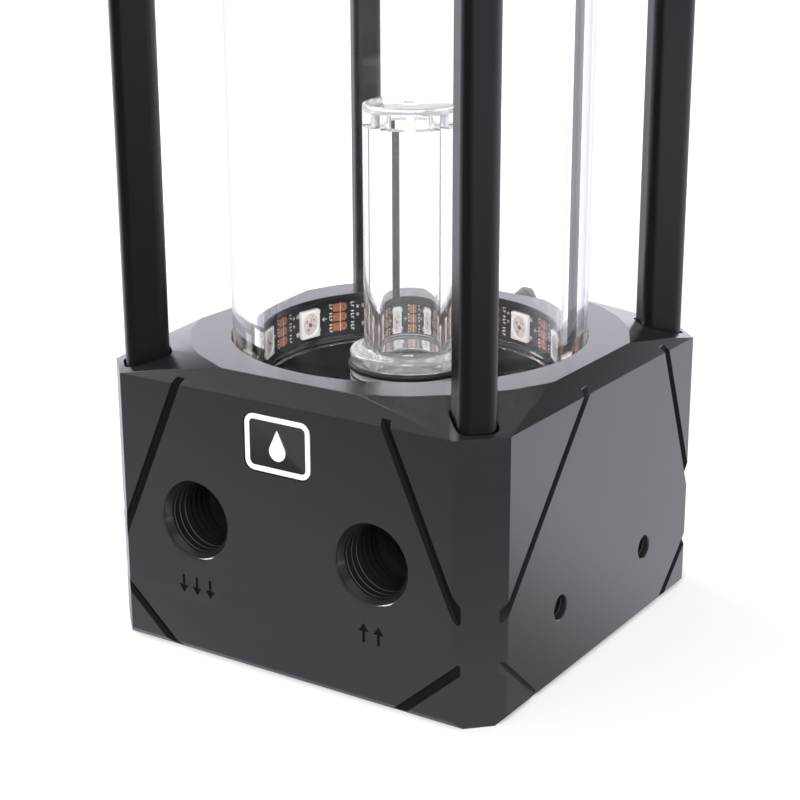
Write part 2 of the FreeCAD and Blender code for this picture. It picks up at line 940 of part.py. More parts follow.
rounded_oblong(
    cap_socket_sketch,
    diagonal,
    "dims.rod_long / 2 + dims.socket_gap",
    "dims.rod_wide / 2 + dims.socket_gap",
    "dims.rod_corner + dims.socket_gap",
)
cap_socket = pocket(cap, cap_socket_sketch, "cap_rod_socket", "dims.cap_socket + dims.cut_margin")
cap_hole = primitive(
    cap,
    "SubtractiveCylinder",
    "cap_screw_hole",
    {
        "Radius": "dims.rod_thread + dims.screw_gap",
        "Height": "dims.cap_height - dims.cap_socket + 1",
    },
    ("dims.rod_place", "dims.rod_place", rod_end),
)
cap_seat = primitive(
    cap,
    "SubtractiveCylinder",
    "cap_screw_seat",
    {
        "Radius": "dims.screw_head + dims.screw_head_gap",
        "Height": "dims.screw_seat + dims.bevel_leg",
    },
    ("dims.rod_place", "dims.rod_place", "%s - dims.screw_seat - 2" % cap_top),
)
around(cap, "cap_sockets", [cap_socket, cap_hole, cap_seat], "4")

# Screws that hold the rods
upper_seat = "%s - dims.screw_seat - 2" % cap_top


def corner_screws(label, shank_foot, length, head_foot, key_foot):
    body = new_body(label)
    shank = primitive(
        body,
        "AdditiveCylinder",
        label + "_shank",
        {"Radius": "dims.rod_thread", "Height": length},
        ("dims.rod_place", "dims.rod_place", shank_foot),
    )
    head = primitive(
        body,
        "AdditiveCylinder",
        label + "_head",
        {"Radius": "dims.screw_head", "Height": "dims.screw_head_tall"},
        ("dims.rod_place", "dims.rod_place", head_foot),
    )
    key = primitive(
        body,
        "SubtractivePrism",
        label + "_key",
        {"Circumradius": "dims.screw_key", "Height": "dims.screw_key_deep"},
        ("dims.rod_place", "dims.rod_place", key_foot),
    )
    around(body, label + "_all", [shank, head, key], "4")


lower_head = "dims.screw_seat - dims.screw_head_tall"
corner_screws("rod_screws_lower", "dims.screw_seat", "dims.screw_length", lower_head, lower_head)
corner_screws(
    "rod_screws_upper",
    "%s - dims.screw_bite" % rod_end,
    "%s - (%s) + dims.screw_bite" % (upper_seat, rod_end),
    upper_seat,
    "%s + dims.screw_head_tall - dims.screw_key_deep" % upper_seat,
)

# Fill plug with its seal
plug = new_body("fill_plug")
under_head = "%s + dims.plug_head_gap" % cap_top
plug_top = "%s + dims.plug_head_gap + dims.plug_head_tall" % cap_top
ring_roof = "%s + 2 * dims.plug_ring_thick" % cap_top
thread = "dims.port_radius - dims.plug_gap"
groove_near = "dims.plug_ring - dims.plug_ring_thick"
groove_far = "dims.plug_ring + dims.plug_ring_thick"
turned(
    plug,
    "Revolution",
    "plug_solid",
    [
        ("0", "%s - dims.plug_length" % cap_top),
        ("%s - dims.plug_edge" % thread, "%s - dims.plug_length" % cap_top),
        (thread, "%s - dims.plug_length + dims.plug_edge" % cap_top),
        (thread, under_head),
        (groove_near, under_head),
        (groove_near, ring_roof),
        (groove_far, ring_roof),
        (groove_far, under_head),
        ("dims.plug_head", under_head),
        ("dims.plug_head", "%s - dims.plug_edge" % plug_top),
        ("dims.plug_head - dims.plug_edge", plug_top),
        ("0", plug_top),
    ],
)
primitive(
    plug,
    "SubtractivePrism",
    "plug_key",
    {"Circumradius": "dims.plug_key", "Height": "dims.plug_key_deep + 1"},
    ("0", "0", "%s - dims.plug_key_deep" % plug_top),
)
seal("fill_plug_seal", "dims.plug_ring", "dims.plug_ring_thick", "%s + dims.plug_ring_thick" % cap_top)

# Pump housing in the underside
housing = new_body("pump_housing")
ring_near = "dims.pump_ring - dims.tube_seal_groove / 2"
ring_far = "dims.pump_ring + dims.tube_seal_groove / 2"
ring_floor = "dims.pocket_roof - 2 * dims.tube_seal_thick"
turned(
    housing,
    "Revolution",
    "housing_solid",
    [
        ("dims.shaft_radius", "dims.shaft_foot"),
        ("dims.shaft_radius", "dims.pump_boss_top"),
        ("dims.pump_boss", "dims.pump_boss_top"),
        ("dims.pump_boss", "dims.pump_dome_top"),
        ("dims.pump_dome", "dims.pump_dome_top"),
        ("dims.pump_dome", "dims.pocket_roof"),
        (ring_near, "dims.pocket_roof"),
        (ring_near, ring_floor),
        (ring_far, ring_floor),
        (ring_far, "dims.pocket_roof"),
        ("dims.pump_radius", "dims.pocket_roof"),
        ("dims.pump_radius", "dims.pump_foot"),
        ("dims.pump_hollow", "dims.pump_foot"),
        ("dims.pump_hollow", "dims.pump_step_level"),
        ("dims.pump_step", "dims.pump_step_level"),
        ("dims.pump_step", "dims.pump_ceiling"),
        ("0", "dims.pump_ceiling"),
        ("0", "dims.shaft_foot"),
    ],
)
bolt_way = primitive(
    housing,
    "SubtractiveCylinder",
    "housing_bolt_hole",
    {"Radius": "dims.pump_bolt_radius + dims.pump_bolt_gap", "Height": "dims.pocket_roof"},
    ("dims.pump_bolt_place", "0", "0"),
)
bolt_seat = primitive(
    housing,
    "SubtractiveCylinder",
    "housing_bolt_seat",
    {"Radius": "dims.pump_bolt_head + dims.pump_bolt_gap", "Height": "dims.pump_bolt_seat"},
    ("dims.pump_bolt_place", "0", "0"),
)
around(housing, "housing_bolt_holes", [bolt_way, bolt_seat], "4")
seal("pump_seal", "dims.pump_ring", "dims.tube_seal_thick", "dims.pocket_roof - dims.tube_seal_thick")

pump_cover = doc.addObject("Part::Cylinder", "pump_cover")
pump_cover.Label = "pump_cover"
pump_cover.setExpression("Radius", "dims.pump_hollow - dims.fit_gap")
pump_cover.setExpression("Height", "dims.pump_step_level - dims.pump_foot")
pump_cover.setExpression("Placement.Base.z", "dims.pump_foot")

bolts = new_body("pump_screws")
bolt_shank = primitive(
    bolts,
    "AdditiveCylinder",
    "bolt_shank",
    {"Radius": "dims.pump_bolt_radius", "Height": "dims.pump_bolt_length"},
    ("dims.pump_bolt_place", "0", "dims.pump_bolt_seat"),
)
bolt_base = ("dims.pump_bolt_place", "0", "dims.pump_bolt_seat - dims.pump_bolt_head_tall")
bolt_head = primitive(
    bolts,
    "AdditiveCylinder",
    "bolt_head",
    {"Radius": "dims.pump_bolt_head", "Height": "dims.pump_bolt_head_tall"},
    bolt_base,
)
bolt_key = primitive(
    bolts,
    "SubtractivePrism",
    "bolt_key",
    {"Circumradius": "dims.pump_bolt_key", "Height": "dims.pump_bolt_key_deep"},
    bolt_base,
)
around(bolts, "bolt_ring", [bolt_shank, bolt_head, bolt_key], "4")

# Shaft and impeller
shaft = doc.addObject("Part::Cylinder", "pump_shaft")
shaft.Label = "pump_shaft"
shaft.setExpression("Radius", "dims.shaft_radius")
shaft.setExpression("Height", "dims.shaft_top - dims.shaft_foot")
shaft.setExpression("Placement.Base.z", "dims.shaft_foot")

impeller = new_body("impeller")
turned(
    impeller,
    "Revolution",
    "impeller_disc",
    [
        ("dims.shaft_radius + dims.shaft_gap", "dims.hub_foot"),
        ("dims.disc_rim", "dims.hub_foot"),
        ("dims.disc_rim", "dims.hub_foot + dims.disc_thick"),
        ("dims.hub_radius", "dims.hub_foot + dims.disc_thick"),
        ("dims.hub_radius", "dims.hub_top"),
        ("dims.shaft_radius + dims.shaft_gap", "dims.hub_top"),
    ],
)
blade_sketch = sketch_on(impeller, "XY_Plane", "blade_outline", "dims.hub_foot")
blade_steps = 5


def blade_spot(step, side):
    reach = "(dims.blade_root + (dims.blade_tip - dims.blade_root) * %d / %d)" % (step, blade_steps)
    lean = "(dims.blade_sweep * %d / %d %s dims.blade_half * 5 / %s)" % (step, blade_steps, side, reach)
    return ("%s * cos(%s)" % (reach, lean), "%s * sin(%s)" % (reach, lean))


blade_corners = [blade_spot(step, "+") for step in range(blade_steps + 1)]
blade_corners += [blade_spot(step, "-") for step in reversed(range(blade_steps + 1))]
polygon(blade_sketch, blade_corners)
blade = pad(impeller, blade_sketch, "blade", "dims.blade_top - dims.hub_foot")
around(impeller, "blades", [blade], "dims.blade_count")

# Grommets for the pump cable and the lamp lead
gland = new_body("pump_gland")
primitive(
    gland,
    "AdditiveBox",
    "gland_solid",
    {
        "Length": "2 * (dims.notch_half - dims.fit_gap)",
        "Width": "dims.block_half - dims.pocket_radius - 1",
        "Height": "dims.notch_tall - 0.6",
    },
    ("dims.fit_gap - dims.notch_half", "dims.pocket_radius + 0.5", "0.6"),
)
primitive(
    gland,
    "SubtractiveCylinder",
    "gland_bore",
    {"Radius": "dims.notch_bore", "Height": "dims.block_half"},
    ("0", half, "(dims.notch_tall + 0.6) / 2"),
    *into_back,
)
lead_way = "dims.lead_wire / 2 + dims.lead_slack"
grommet = new_body("lead_grommet")
primitive(
    grommet,
    "AdditiveCylinder",
    "grommet_sleeve",
    {
        "Radius": "dims.lead_radius - dims.fit_gap / 2",
        "Height": "dims.block_half - dims.recess_radius - 0.5",
    },
    ("0", half, "dims.lead_level"),
    *into_back,
)
primitive(
    grommet,
    "AdditiveCylinder",
    "grommet_flange",
    {"Radius": "dims.lead_flange", "Height": "dims.lead_flange_thick"},
    ("0", "dims.block_half + dims.lead_flange_thick", "dims.lead_level"),
    *into_back,
)
primitive(
    grommet,
    "SubtractiveCylinder",
    "grommet_bore",
    {"Radius": lead_way, "Height": "dims.block_half"},
    ("0", "dims.block_half + dims.lead_flange_thick", "dims.lead_level"),
    *into_back,
)

# Lamp lead: out of its grommet, over a hump, down behind the block and round on the shelf
wire_half = number("dims.lead_wire / 2")
lead_exit = number("dims.lead_level")
plug_level = number("dims.connector_tall / 2")
lead_route = [
    Vector(0, 37, lead_exit),
    Vector(-0.2, 41, 44.6),
    Vector(-1.2, 43.9, 46.7),
    Vector(-3, 47, 46.6),
    Vector(-4.6, 50, 43.6),
    Vector(-6.2, 51.6, 37.8),
    Vector(-7.6, 52.2, 29),
    Vector(-9.2, 52.4, 19),
    Vector(-11.6, 53.2, 10),
    Vector(-15.8, 54.6, 3.9),
    Vector(-22, 55.8, 1.2),
    Vector(-29.6, 56.2, 1.1),
    Vector(-36.6, 58, 1.1),
    Vector(-40.8, 63, 1.1),
    Vector(-40.2, 69.4, 1.1),
    Vector(-35.2, 73.6, 1.1),
    Vector(-28, 74.4, 1.6),
    Vector(-19.6, 73.2, plug_level),
    Vector(-12, 72.4, plug_level),
]


def eight_sided(centre, along, half):
    turn = Rotation(Vector(0, 0, 1), along)
    corners = []
    for step in range(8):
        angle = math.radians(45 * step)
        corner = Vector(half * math.cos(angle), half * math.sin(angle), 0)
        corners.append(centre + turn.multVec(corner))
    return Part.Face(Part.makePolygon(corners + corners[:1]))


def eight_sided_lead(spots, half):
    # Straight runs joined by the largest tangent arcs that the shorter run allows
    pieces = []
    length = 0
    begin = spots[0]
    section = eight_sided(begin, spots[1] - begin, half)
    area = section.Area
    for last, corner, after in zip(spots, spots[1:], spots[2:]):
        into = corner - last
        out = after - corner
        reach = 0.45 * min(into.Length, out.Length)
        half_turn = into.getAngle(out) / 2
        radius = reach / math.tan(half_turn)
        into.normalize()
        out.normalize()
        bend_start = corner - into * reach
        bend_end = corner + out * reach
        centre = corner + (out - into).normalize() * (radius / math.cos(half_turn))
        axis = into.cross(out)
        pieces.append(section.extrude(bend_start - begin))
        section.translate(bend_start - begin)
        pieces.append(section.revolve(centre, axis, math.degrees(2 * half_turn)))
        section.rotate(centre, axis, math.degrees(2 * half_turn))
        print("lead bend radius %.1f" % radius)
        length += (bend_start - begin).Length + 2 * half_turn * radius
        begin = bend_end
    pieces.append(section.extrude(spots[-1] - begin))
    tube = pieces[0].fuse(pieces[1:])
    length += (spots[-1] - begin).Length
    print("lead length %.1f, volume %.1f of %.1f" % (length, tube.Volume, area * length))
    return tube


lead = doc.addObject("Part::Feature", "lamp_lead")
lead.Label = "lamp_lead"
lead.Shape = eight_sided_lead(lead_route, wire_half)

# Three pin connector on the end of the lead, built along X and then laid in line with the lead
connector = new_body("lead_connector")
primitive(
    connector,
    "AdditiveBox",
    "connector_shell",
    {
        "Length": "dims.connector_long",
        "Width": "dims.connector_wide",
        "Height": "dims.connector_tall",
    },
    ("0", "-dims.connector_wide / 2", "0"),
)
primitive(
    connector,
    "SubtractiveBox",
    "connector_opening",
    {
        "Length": "dims.connector_mouth + dims.cut_margin",
        "Width": "dims.connector_wide - 2 * dims.connector_wall",
        "Height": "dims.connector_tall - 2 * dims.connector_wall",
    },
    (
        "dims.connector_long - dims.connector_mouth",
        "dims.connector_wall - dims.connector_wide / 2",
        "dims.connector_wall",
    ),
)
for name, across in (("left", "-dims.connector_pitch"), ("middle", "0"), ("right", "dims.connector_pitch")):
    primitive(
        connector,
        "AdditiveBox",
        name + "_pin",
        {
            "Length": "dims.connector_mouth",
            "Width": "dims.connector_pin",
            "Height": "dims.connector_pin",
        },
        (
            "dims.connector_long - dims.connector_mouth - dims.connector_wall",
            "%s - dims.connector_pin / 2" % across,
            "dims.connector_tall / 2 - dims.connector_pin / 2",
        ),
    )
primitive(
    connector,
    "AdditiveBox",
    "connector_latch",
    {
        "Length": "dims.latch_long",
        "Width": "dims.latch_wide",
        "Height": "dims.latch_tall + dims.connector_wall",
    },
    ("dims.connector_wall", "-dims.latch_wide / 2", "dims.connector_tall - dims.connector_wall"),
)
primitive(
    connector,
    "SubtractiveCylinder",
    "connector_lead_hole",
    {"Radius": lead_way, "Height": "dims.connector_sleeve"},
    ("0", "0", "dims.connector_tall / 2"),
    *into_left,
)
lead_end = lead_route[-1]
lead_way_out = (lead_end - lead_route[-2]).normalize()
connector_spot = lead_end - lead_way_out * number("dims.connector_sleeve")
connector_spot.z = 0
connector_turn = Rotation(Vector(1, 0, 0), lead_way_out)
connector.Placement = Placement(connector_spot, connector_turn)

doc.recompute()

# Check every object, then write one file for each piece
nodes = [
    "base_block",
    "floor_plate",
    "reservoir_tube",
    "tube_seal_lower",
    "tube_seal_upper",
    "led_strip",
    "led_chips",
    "standpipe",
    "standpipe_cap",
    "standpipe_seal_upper",
    "standpipe_seal_lower",
    "rod_front_left",
    "rod_front_right",
    "rod_back_left",
    "rod_back_right",
    "rod_screws_lower",
    "rod_screws_upper",
    "top_cap",
    "fill_plug",
    "fill_plug_seal",
    "pump_housing",
    "pump_seal",
    "pump_cover",
    "pump_screws",
    "pump_shaft",
    "impeller",
    "pump_gland",
    "lead_grommet",
    "lamp_lead",
    "lead_connector",
]
for item in doc.Objects:
    if "Invalid" in item.State or "Error" in item.State:
        raise RuntimeError("%s is not valid" % item.Name)
os.makedirs("parts", exist_ok=True)
for node in nodes:
    shape = doc.getObject(node).Shape
    if shape.isNull() or not shape.isValid():
        raise RuntimeError("%s has no valid shape" % node)
    box = shape.BoundBox
    print(
        "%-22s solids %2d volume %9.1f  x %7.2f %7.2f  y %7.2f %7.2f  z %7.2f %7.2f"
        % (
            node,
            len(shape.Solids),
            shape.Volume,
            box.XMin,
            box.XMax,
            box.YMin,
            box.YMax,
            box.ZMin,
            box.ZMax,
        )
    )
    shape.exportStep("parts/%s.step" % node)
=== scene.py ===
import bpy
import math
from mathutils import Matrix, Vector


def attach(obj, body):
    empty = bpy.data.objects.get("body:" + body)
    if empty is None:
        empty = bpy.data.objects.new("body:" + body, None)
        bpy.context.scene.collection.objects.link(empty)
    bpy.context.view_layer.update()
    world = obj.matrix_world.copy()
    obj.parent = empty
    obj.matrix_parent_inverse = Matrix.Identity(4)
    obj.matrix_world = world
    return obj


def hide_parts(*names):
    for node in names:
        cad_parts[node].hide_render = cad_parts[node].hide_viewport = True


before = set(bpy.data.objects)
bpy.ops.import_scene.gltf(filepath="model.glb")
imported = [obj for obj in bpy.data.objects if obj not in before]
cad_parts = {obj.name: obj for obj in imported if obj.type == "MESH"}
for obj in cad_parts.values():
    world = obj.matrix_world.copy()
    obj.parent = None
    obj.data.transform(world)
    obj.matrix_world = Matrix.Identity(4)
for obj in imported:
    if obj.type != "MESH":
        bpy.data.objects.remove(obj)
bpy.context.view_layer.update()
mm = 0.001
print("stage: frame loaded")


# camera, at the photograph's angle
cameraSettings = {
    "place": (161.73, -251.21, 132.49),
    "azimuth": 33.108,
    "pitch": 17.684,
    "roll": -0.161,
    "lens": 82.04,
}
cameraData = bpy.data.cameras.new("viewCamera")
cameraData.lens = cameraSettings["lens"]
cameraData.sensor_width = 36
cameraData.clip_start = 0.01
cameraData.clip_end = 50
camera = bpy.data.objects.new("viewCamera", cameraData)
bpy.context.scene.collection.objects.link(camera)
camera.rotation_mode = "QUATERNION"
turnAcross = Matrix.Rotation(math.radians(cameraSettings["azimuth"]), 3, "Z")
turnDown = Matrix.Rotation(math.radians(90 - cameraSettings["pitch"]), 3, "X")
turnRoll = Matrix.Rotation(math.radians(cameraSettings["roll"]), 3, "Z")
camera.rotation_quaternion = (turnAcross @ turnDown @ turnRoll).to_quaternion()
camera.location = Vector(cameraSettings["place"]) * mm
bpy.context.scene.camera = camera


# lamp lead: three thin wires twisted, out of the back of the block and down to its connector
leadSettings = {
    "route": [
        (0, 37, 44.4),
        (0, 41.2, 44.5),
        (0.5, 44.2, 46.7),
        (3, 46.7, 47.6),
        (5.4, 49.2, 45.6),
        (5, 51.6, 40.8),
        (1.6, 52.3, 34.6),
        (-4, 52.4, 26.6),
        (-8, 52.5, 18.2),
        (-11.6, 53.2, 10),
        (-15.8, 54.6, 3.9),
        (-22, 55.8, 1.2),
        (-29.6, 56.2, 1.1),
        (-36.6, 58, 1.1),
        (-40.8, 63, 1.1),
        (-40.2, 69.4, 1.1),
        (-35.2, 73.6, 1.1),
        (-28, 74.4, 1.6),
        (-19.6, 73.2, 2.8),
        (-12, 72.4, 2.8),
    ],
    "wire": 0.975,
    "offset": 0.56,
    "twist": 7.5,
    "step": 0.35,
}


def smoothLine(name, spots):
    curveData = bpy.data.curves.new(name, "CURVE")
    curveData.dimensions = "3D"
    curveData.resolution_u = 16
    spline = curveData.splines.new("NURBS")
    spline.points.add(len(spots) - 1)
    for point, spot in zip(spline.points, spots):
        point.co = (*(value * mm for value in spot), 1)
    spline.order_u = 3
    spline.use_endpoint_u = True
    curve = bpy.data.objects.new(name, curveData)
    bpy.context.scene.collection.objects.link(curve)
    line = bpy.data.meshes.new_from_object(curve)
    points = [vertex.co.copy() for vertex in line.vertices]
    bpy.data.meshes.remove(line)
    bpy.data.objects.remove(curve)
    return points


def twistedStrands(name, points, settings):
    # even steps along the line, then one wire after the other wound round it
    steps = [points[0]]
    travel = 0.0
    for last, point in zip(points, points[1:]):
        run = (point - last).length
        while run > 0 and travel + run >= settings["step"] * mm:
            last = last + (point - last) * ((settings["step"] * mm - travel) / run)
            steps.append(last)
            run = (point - last).length
            travel = 0.0
        travel += run
    curveData = bpy.data.curves.new(name, "CURVE")
    curveData.dimensions = "3D"
    curveData.bevel_depth = settings["wire"] / 2 * mm
    curveData.bevel_resolution = 2
    curveData.use_fill_caps = True
    for strand in range(3):
        spline = curveData.splines.new("POLY")
        spline.points.add(len(steps) - 1)
        across = Vector((1, 0, 0))
        for index, spot in enumerate(steps):
            ahead = steps[min(index + 1, len(steps) - 1)] - steps[max(index - 1, 0)]
            along = ahead.normalized()
            across = (across - along * across.dot(along)).normalized()
            turn = math.radians(120 * strand) + 2 * math.pi * index * settings["step"] / settings["twist"]
            out = across * math.cos(turn) + along.cross(across) * math.sin(turn)
            spline.points[index].co = (*(spot + out * settings["offset"] * mm), 1)
    strands = bpy.data.objects.new(name, curveData)
    bpy.context.scene.collection.objects.link(strands)
    return strands, steps


leadStrands, leadSteps = twistedStrands(
    "lampLeadStrands", smoothLine("lampLeadLine", leadSettings["route"]), leadSettings
)
print("stage: camera and lamp lead")


# shared ways of working
def deselectAll():
    if bpy.context.object and bpy.context.object.mode != "OBJECT":
        bpy.ops.object.mode_set(mode="OBJECT")
    bpy.ops.object.select_all(action="DESELECT")


def pick(*objs):
    deselectAll()
    for obj in objs:
        obj.select_set(True)
    bpy.context.view_layer.objects.active = objs[0]


def inEditMode(obj):
    pick(obj)
    bpy.ops.object.mode_set(mode="EDIT")
    bpy.ops.mesh.select_all(action="SELECT")


def settle(obj):
    pick(obj)
    bpy.ops.object.transform_apply(location=True, rotation=True, scale=True)


def applyModifiers(obj):
    pick(obj)
    for modifier in list(obj.modifiers):
        bpy.ops.object.modifier_apply(modifier=modifier.name)


def cleanMesh(obj):
    inEditMode(obj)
    bpy.ops.mesh.remove_doubles(threshold=0.00001)
    bpy.ops.mesh.normals_make_consistent(inside=False)
    bpy.ops.object.mode_set(mode="OBJECT")


def joinPieces(pieces):
    pick(*pieces)
    bpy.ops.object.join()
    return bpy.context.object


def dress(obj, *materials):
    obj.data.materials.clear()
    for material in materials:
        obj.data.materials.append(material)


def finishPiece(obj, name, body, materials, smoothAngle=30):
    # its place goes into its mesh, then it gets its material and its body
    applyModifiers(obj)
    settle(obj)
    obj.name = name
    obj.data.name = name
    if materials:
        dress(obj, *materials)
    if smoothAngle:
        pick(obj)
        bpy.ops.object.shade_smooth_by_angle(angle=math.radians(smoothAngle))
    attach(obj, body)
    deselectAll()
    return obj


def addCube(size, place):
    deselectAll()
    bpy.ops.mesh.primitive_cube_add(size=1, location=Vector(place) * mm)
    obj = bpy.context.object
    obj.scale = Vector(size) * mm
    settle(obj)
    return obj


def addCylinder(radius, depth, place, steps=48, rotation=(0, 0, 0)):
    deselectAll()
    bpy.ops.mesh.primitive_cylinder_add(
        vertices=steps,
        radius=radius * mm,
        depth=depth * mm,
        location=Vector(place) * mm,
        rotation=rotation,
    )
    obj = bpy.context.object
    settle(obj)
    return obj


def addBevel(obj, width, segments=2, angle=30):
    modifier = obj.modifiers.new("edges", "BEVEL")
    modifier.width = width * mm
    modifier.segments = segments
    modifier.limit_method = "ANGLE"
    modifier.angle_limit = math.radians(angle)
    modifier.use_clamp_overlap = True


def drawnProfile(points):
    # a line drawn by extruding one point, in the XZ plane, in millimetres
    spots = [Vector((x, 0, z)) * mm for x, z in points]
    deselectAll()
    bpy.ops.mesh.primitive_plane_add(size=0.002, location=(0, 0, 0))
    obj = bpy.context.object
    inEditMode(obj)
    bpy.ops.mesh.merge(type="CENTER")
    bpy.ops.transform.translate(value=spots[0])
    for last, spot in zip(spots, spots[1:]):
        bpy.ops.mesh.extrude_region_move(TRANSFORM_OT_translate={"value": spot - last})
    bpy.ops.object.mode_set(mode="OBJECT")
    return obj


def turnedPiece(points, steps):
    obj = drawnProfile(points)
    modifier = obj.modifiers.new("turn", "SCREW")
    modifier.steps = steps
    modifier.render_steps = steps
    modifier.use_merge_vertices = True
    modifier.merge_threshold = 0.00001
    applyModifiers(obj)
    cleanMesh(obj)
    return obj


def arcPoints(centre, radius, startAngle, endAngle, count):
    points = []
    for step in range(count + 1):
        angle = math.radians(startAngle + (endAngle - startAngle) * step / count)
        points.append((centre[0] + radius * math.cos(angle), centre[1] + radius * math.sin(angle)))
    return points


def turnAbout(obj, angle):
    pick(obj)
    obj.rotation_euler = (0, 0, math.radians(angle))
    settle(obj)


def copyOf(obj):
    copy = obj.copy()
    copy.data = obj.data.copy()
    bpy.context.scene.collection.objects.link(copy)
    return copy


def cutFrom(obj, cutter):
    # the cut faces keep the material of the cutter
    pick(obj)
    modifier = obj.modifiers.new("cut", "BOOLEAN")
    modifier.operation = "DIFFERENCE"
    modifier.solver = "EXACT"
    modifier.material_mode = "TRANSFER"
    modifier.object = cutter
    bpy.ops.object.modifier_apply(modifier=modifier.name)
    bpy.data.objects.remove(cutter)


# shared ways with nodes
def feed(links, value, socket):
    if isinstance(value, (int, float, tuple)):
        socket.default_value = value
    else:
        links.new(value, socket)


def mathNode(nodes, links, operation, *values):
    node = nodes.new("ShaderNodeMath")
    node.operation = operation
    for socket, value in zip(node.inputs, values):
        feed(links, value, socket)
    return node.outputs[0]


def mixNode(nodes, links, factor, first, second, kind="FLOAT"):
    node = nodes.new("ShaderNodeMix")
    node.data_type = kind
    for label, value in (("Factor", factor), ("A", first), ("B", second)):
        feed(links, value, node.inputs[label])
    return node.outputs["Result"]


def rangeNode(nodes, links, value, low, high, toLow, toHigh, kind="SMOOTHSTEP"):
    node = nodes.new("ShaderNodeMapRange")
    node.interpolation_type = kind
    labels = ("Value", "From Min", "From Max", "To Min", "To Max")
    for label, number in zip(labels, (value, low, high, toLow, toHigh)):
        feed(links, number, node.inputs[label])
    return node.outputs["Result"]


def noiseNode(nodes, links, spot, scale, detail, socket="Vector"):
    node = nodes.new("ShaderNodeTexNoise")
    node.noise_dimensions = "1D" if socket == "W" else "3D"
    node.inputs["Detail"].default_value = detail
    feed(links, scale, node.inputs["Scale"])
    links.new(spot, node.inputs[socket])
    return node.outputs["Fac"]


def bumpNode(nodes, links, height, strength, depth, under=None):
    node = nodes.new("ShaderNodeBump")
    node.inputs["Strength"].default_value = strength
    node.inputs["Distance"].default_value = depth * mm
    links.new(height, node.inputs["Height"])
    if under is not None:
        links.new(under, node.inputs["Normal"])
    return node.outputs["Normal"]


def splitNode(nodes, links, label):
    node = nodes.new("ShaderNodeSeparateXYZ")
    links.new(nodes.new("ShaderNodeTexCoord").outputs[label], node.inputs[0])
    return node


def radiusNode(nodes, links, split):
    # how far a point is from the upright axis
    flat = nodes.new("ShaderNodeCombineXYZ")
    for label in ("X", "Y"):
        links.new(split.outputs[label], flat.inputs[label])
    radius = nodes.new("ShaderNodeVectorMath")
    radius.operation = "LENGTH"
    links.new(flat.outputs[0], radius.inputs[0])
    return radius.outputs["Value"]


# shared effects
def newGroup(name, inputs, outputs):
    group = bpy.data.node_groups.new(name, "ShaderNodeTree")
    for label, kind, value in inputs:
        socket = group.interface.new_socket(label, in_out="INPUT", socket_type=kind)
        socket.default_value = value
    for label, kind in outputs:
        group.interface.new_socket(label, in_out="OUTPUT", socket_type=kind)
    return group, group.nodes.new("NodeGroupInput"), group.nodes.new("NodeGroupOutput")


def makeGrainGroup():
    # fine blasted grain with slow cloudy variation
    group, start, end = newGroup(
        "fineGrain",
        [
            ("Grain Scale", "NodeSocketFloat", 2500),
            ("Cloud Scale", "NodeSocketFloat", 40),
            ("Roughness", "NodeSocketFloat", 0.4),
            ("Spread", "NodeSocketFloat", 0.1),
            ("Stretch", "NodeSocketVector", (1, 1, 1)),
        ],
        [("Roughness", "NodeSocketFloat"), ("Height", "NodeSocketFloat"), ("Cloud", "NodeSocketFloat")],
    )
    nodes, links = group.nodes, group.links
    given = start.outputs
    place = nodes.new("ShaderNodeTexCoord").outputs["Object"]
    stretch = nodes.new("ShaderNodeVectorMath")
    stretch.operation = "MULTIPLY"
    links.new(place, stretch.inputs[0])
    links.new(given["Stretch"], stretch.inputs[1])
    grain = noiseNode(nodes, links, stretch.outputs[0], given["Grain Scale"], 3)
    cloud = noiseNode(nodes, links, place, given["Cloud Scale"], 4)
    centred = mathNode(nodes, links, "SUBTRACT", cloud, 0.5)
    spread = mathNode(nodes, links, "MULTIPLY_ADD", centred, given["Spread"], given["Roughness"])
    links.new(spread, end.inputs["Roughness"])
    links.new(grain, end.inputs["Height"])
    links.new(cloud, end.inputs["Cloud"])
    return group


def makeWearGroup():
    # lighter edges where the surface turns sharply
    group, start, end = newGroup(
        "edgeWear",
        [
            ("Color", "NodeSocketColor", (0.1, 0.1, 0.1, 1)),
            ("Worn Color", "NodeSocketColor", (0.3, 0.3, 0.3, 1)),
            ("Amount", "NodeSocketFloat", 0.3),
            ("Low", "NodeSocketFloat", 0.52),
            ("High", "NodeSocketFloat", 0.62),
        ],
        [("Color", "NodeSocketColor")],
    )
    nodes, links = group.nodes, group.links
    given = start.outputs
    pointiness = nodes.new("ShaderNodeNewGeometry").outputs["Pointiness"]
    narrow = rangeNode(nodes, links, pointiness, given["Low"], given["High"], 0, 1, "LINEAR")
    place = nodes.new("ShaderNodeTexCoord").outputs["Object"]
    mask = mathNode(nodes, links, "MULTIPLY", narrow, noiseNode(nodes, links, place, 300, 3))
    scaled = mathNode(nodes, links, "MULTIPLY", mask, given["Amount"])
    worn = mixNode(nodes, links, scaled, given["Color"], given["Worn Color"], "RGBA")
    links.new(worn, end.inputs["Color"])
    return group


grainGroup = makeGrainGroup()
wearGroup = makeWearGroup()


def newMaterial(name):
    material = bpy.data.materials.new(name)
    material.use_nodes = True
    return material, material.node_tree.nodes, material.node_tree.links


def setValues(node, values):
    for label, value in values.items():
        node.inputs[label].default_value = value


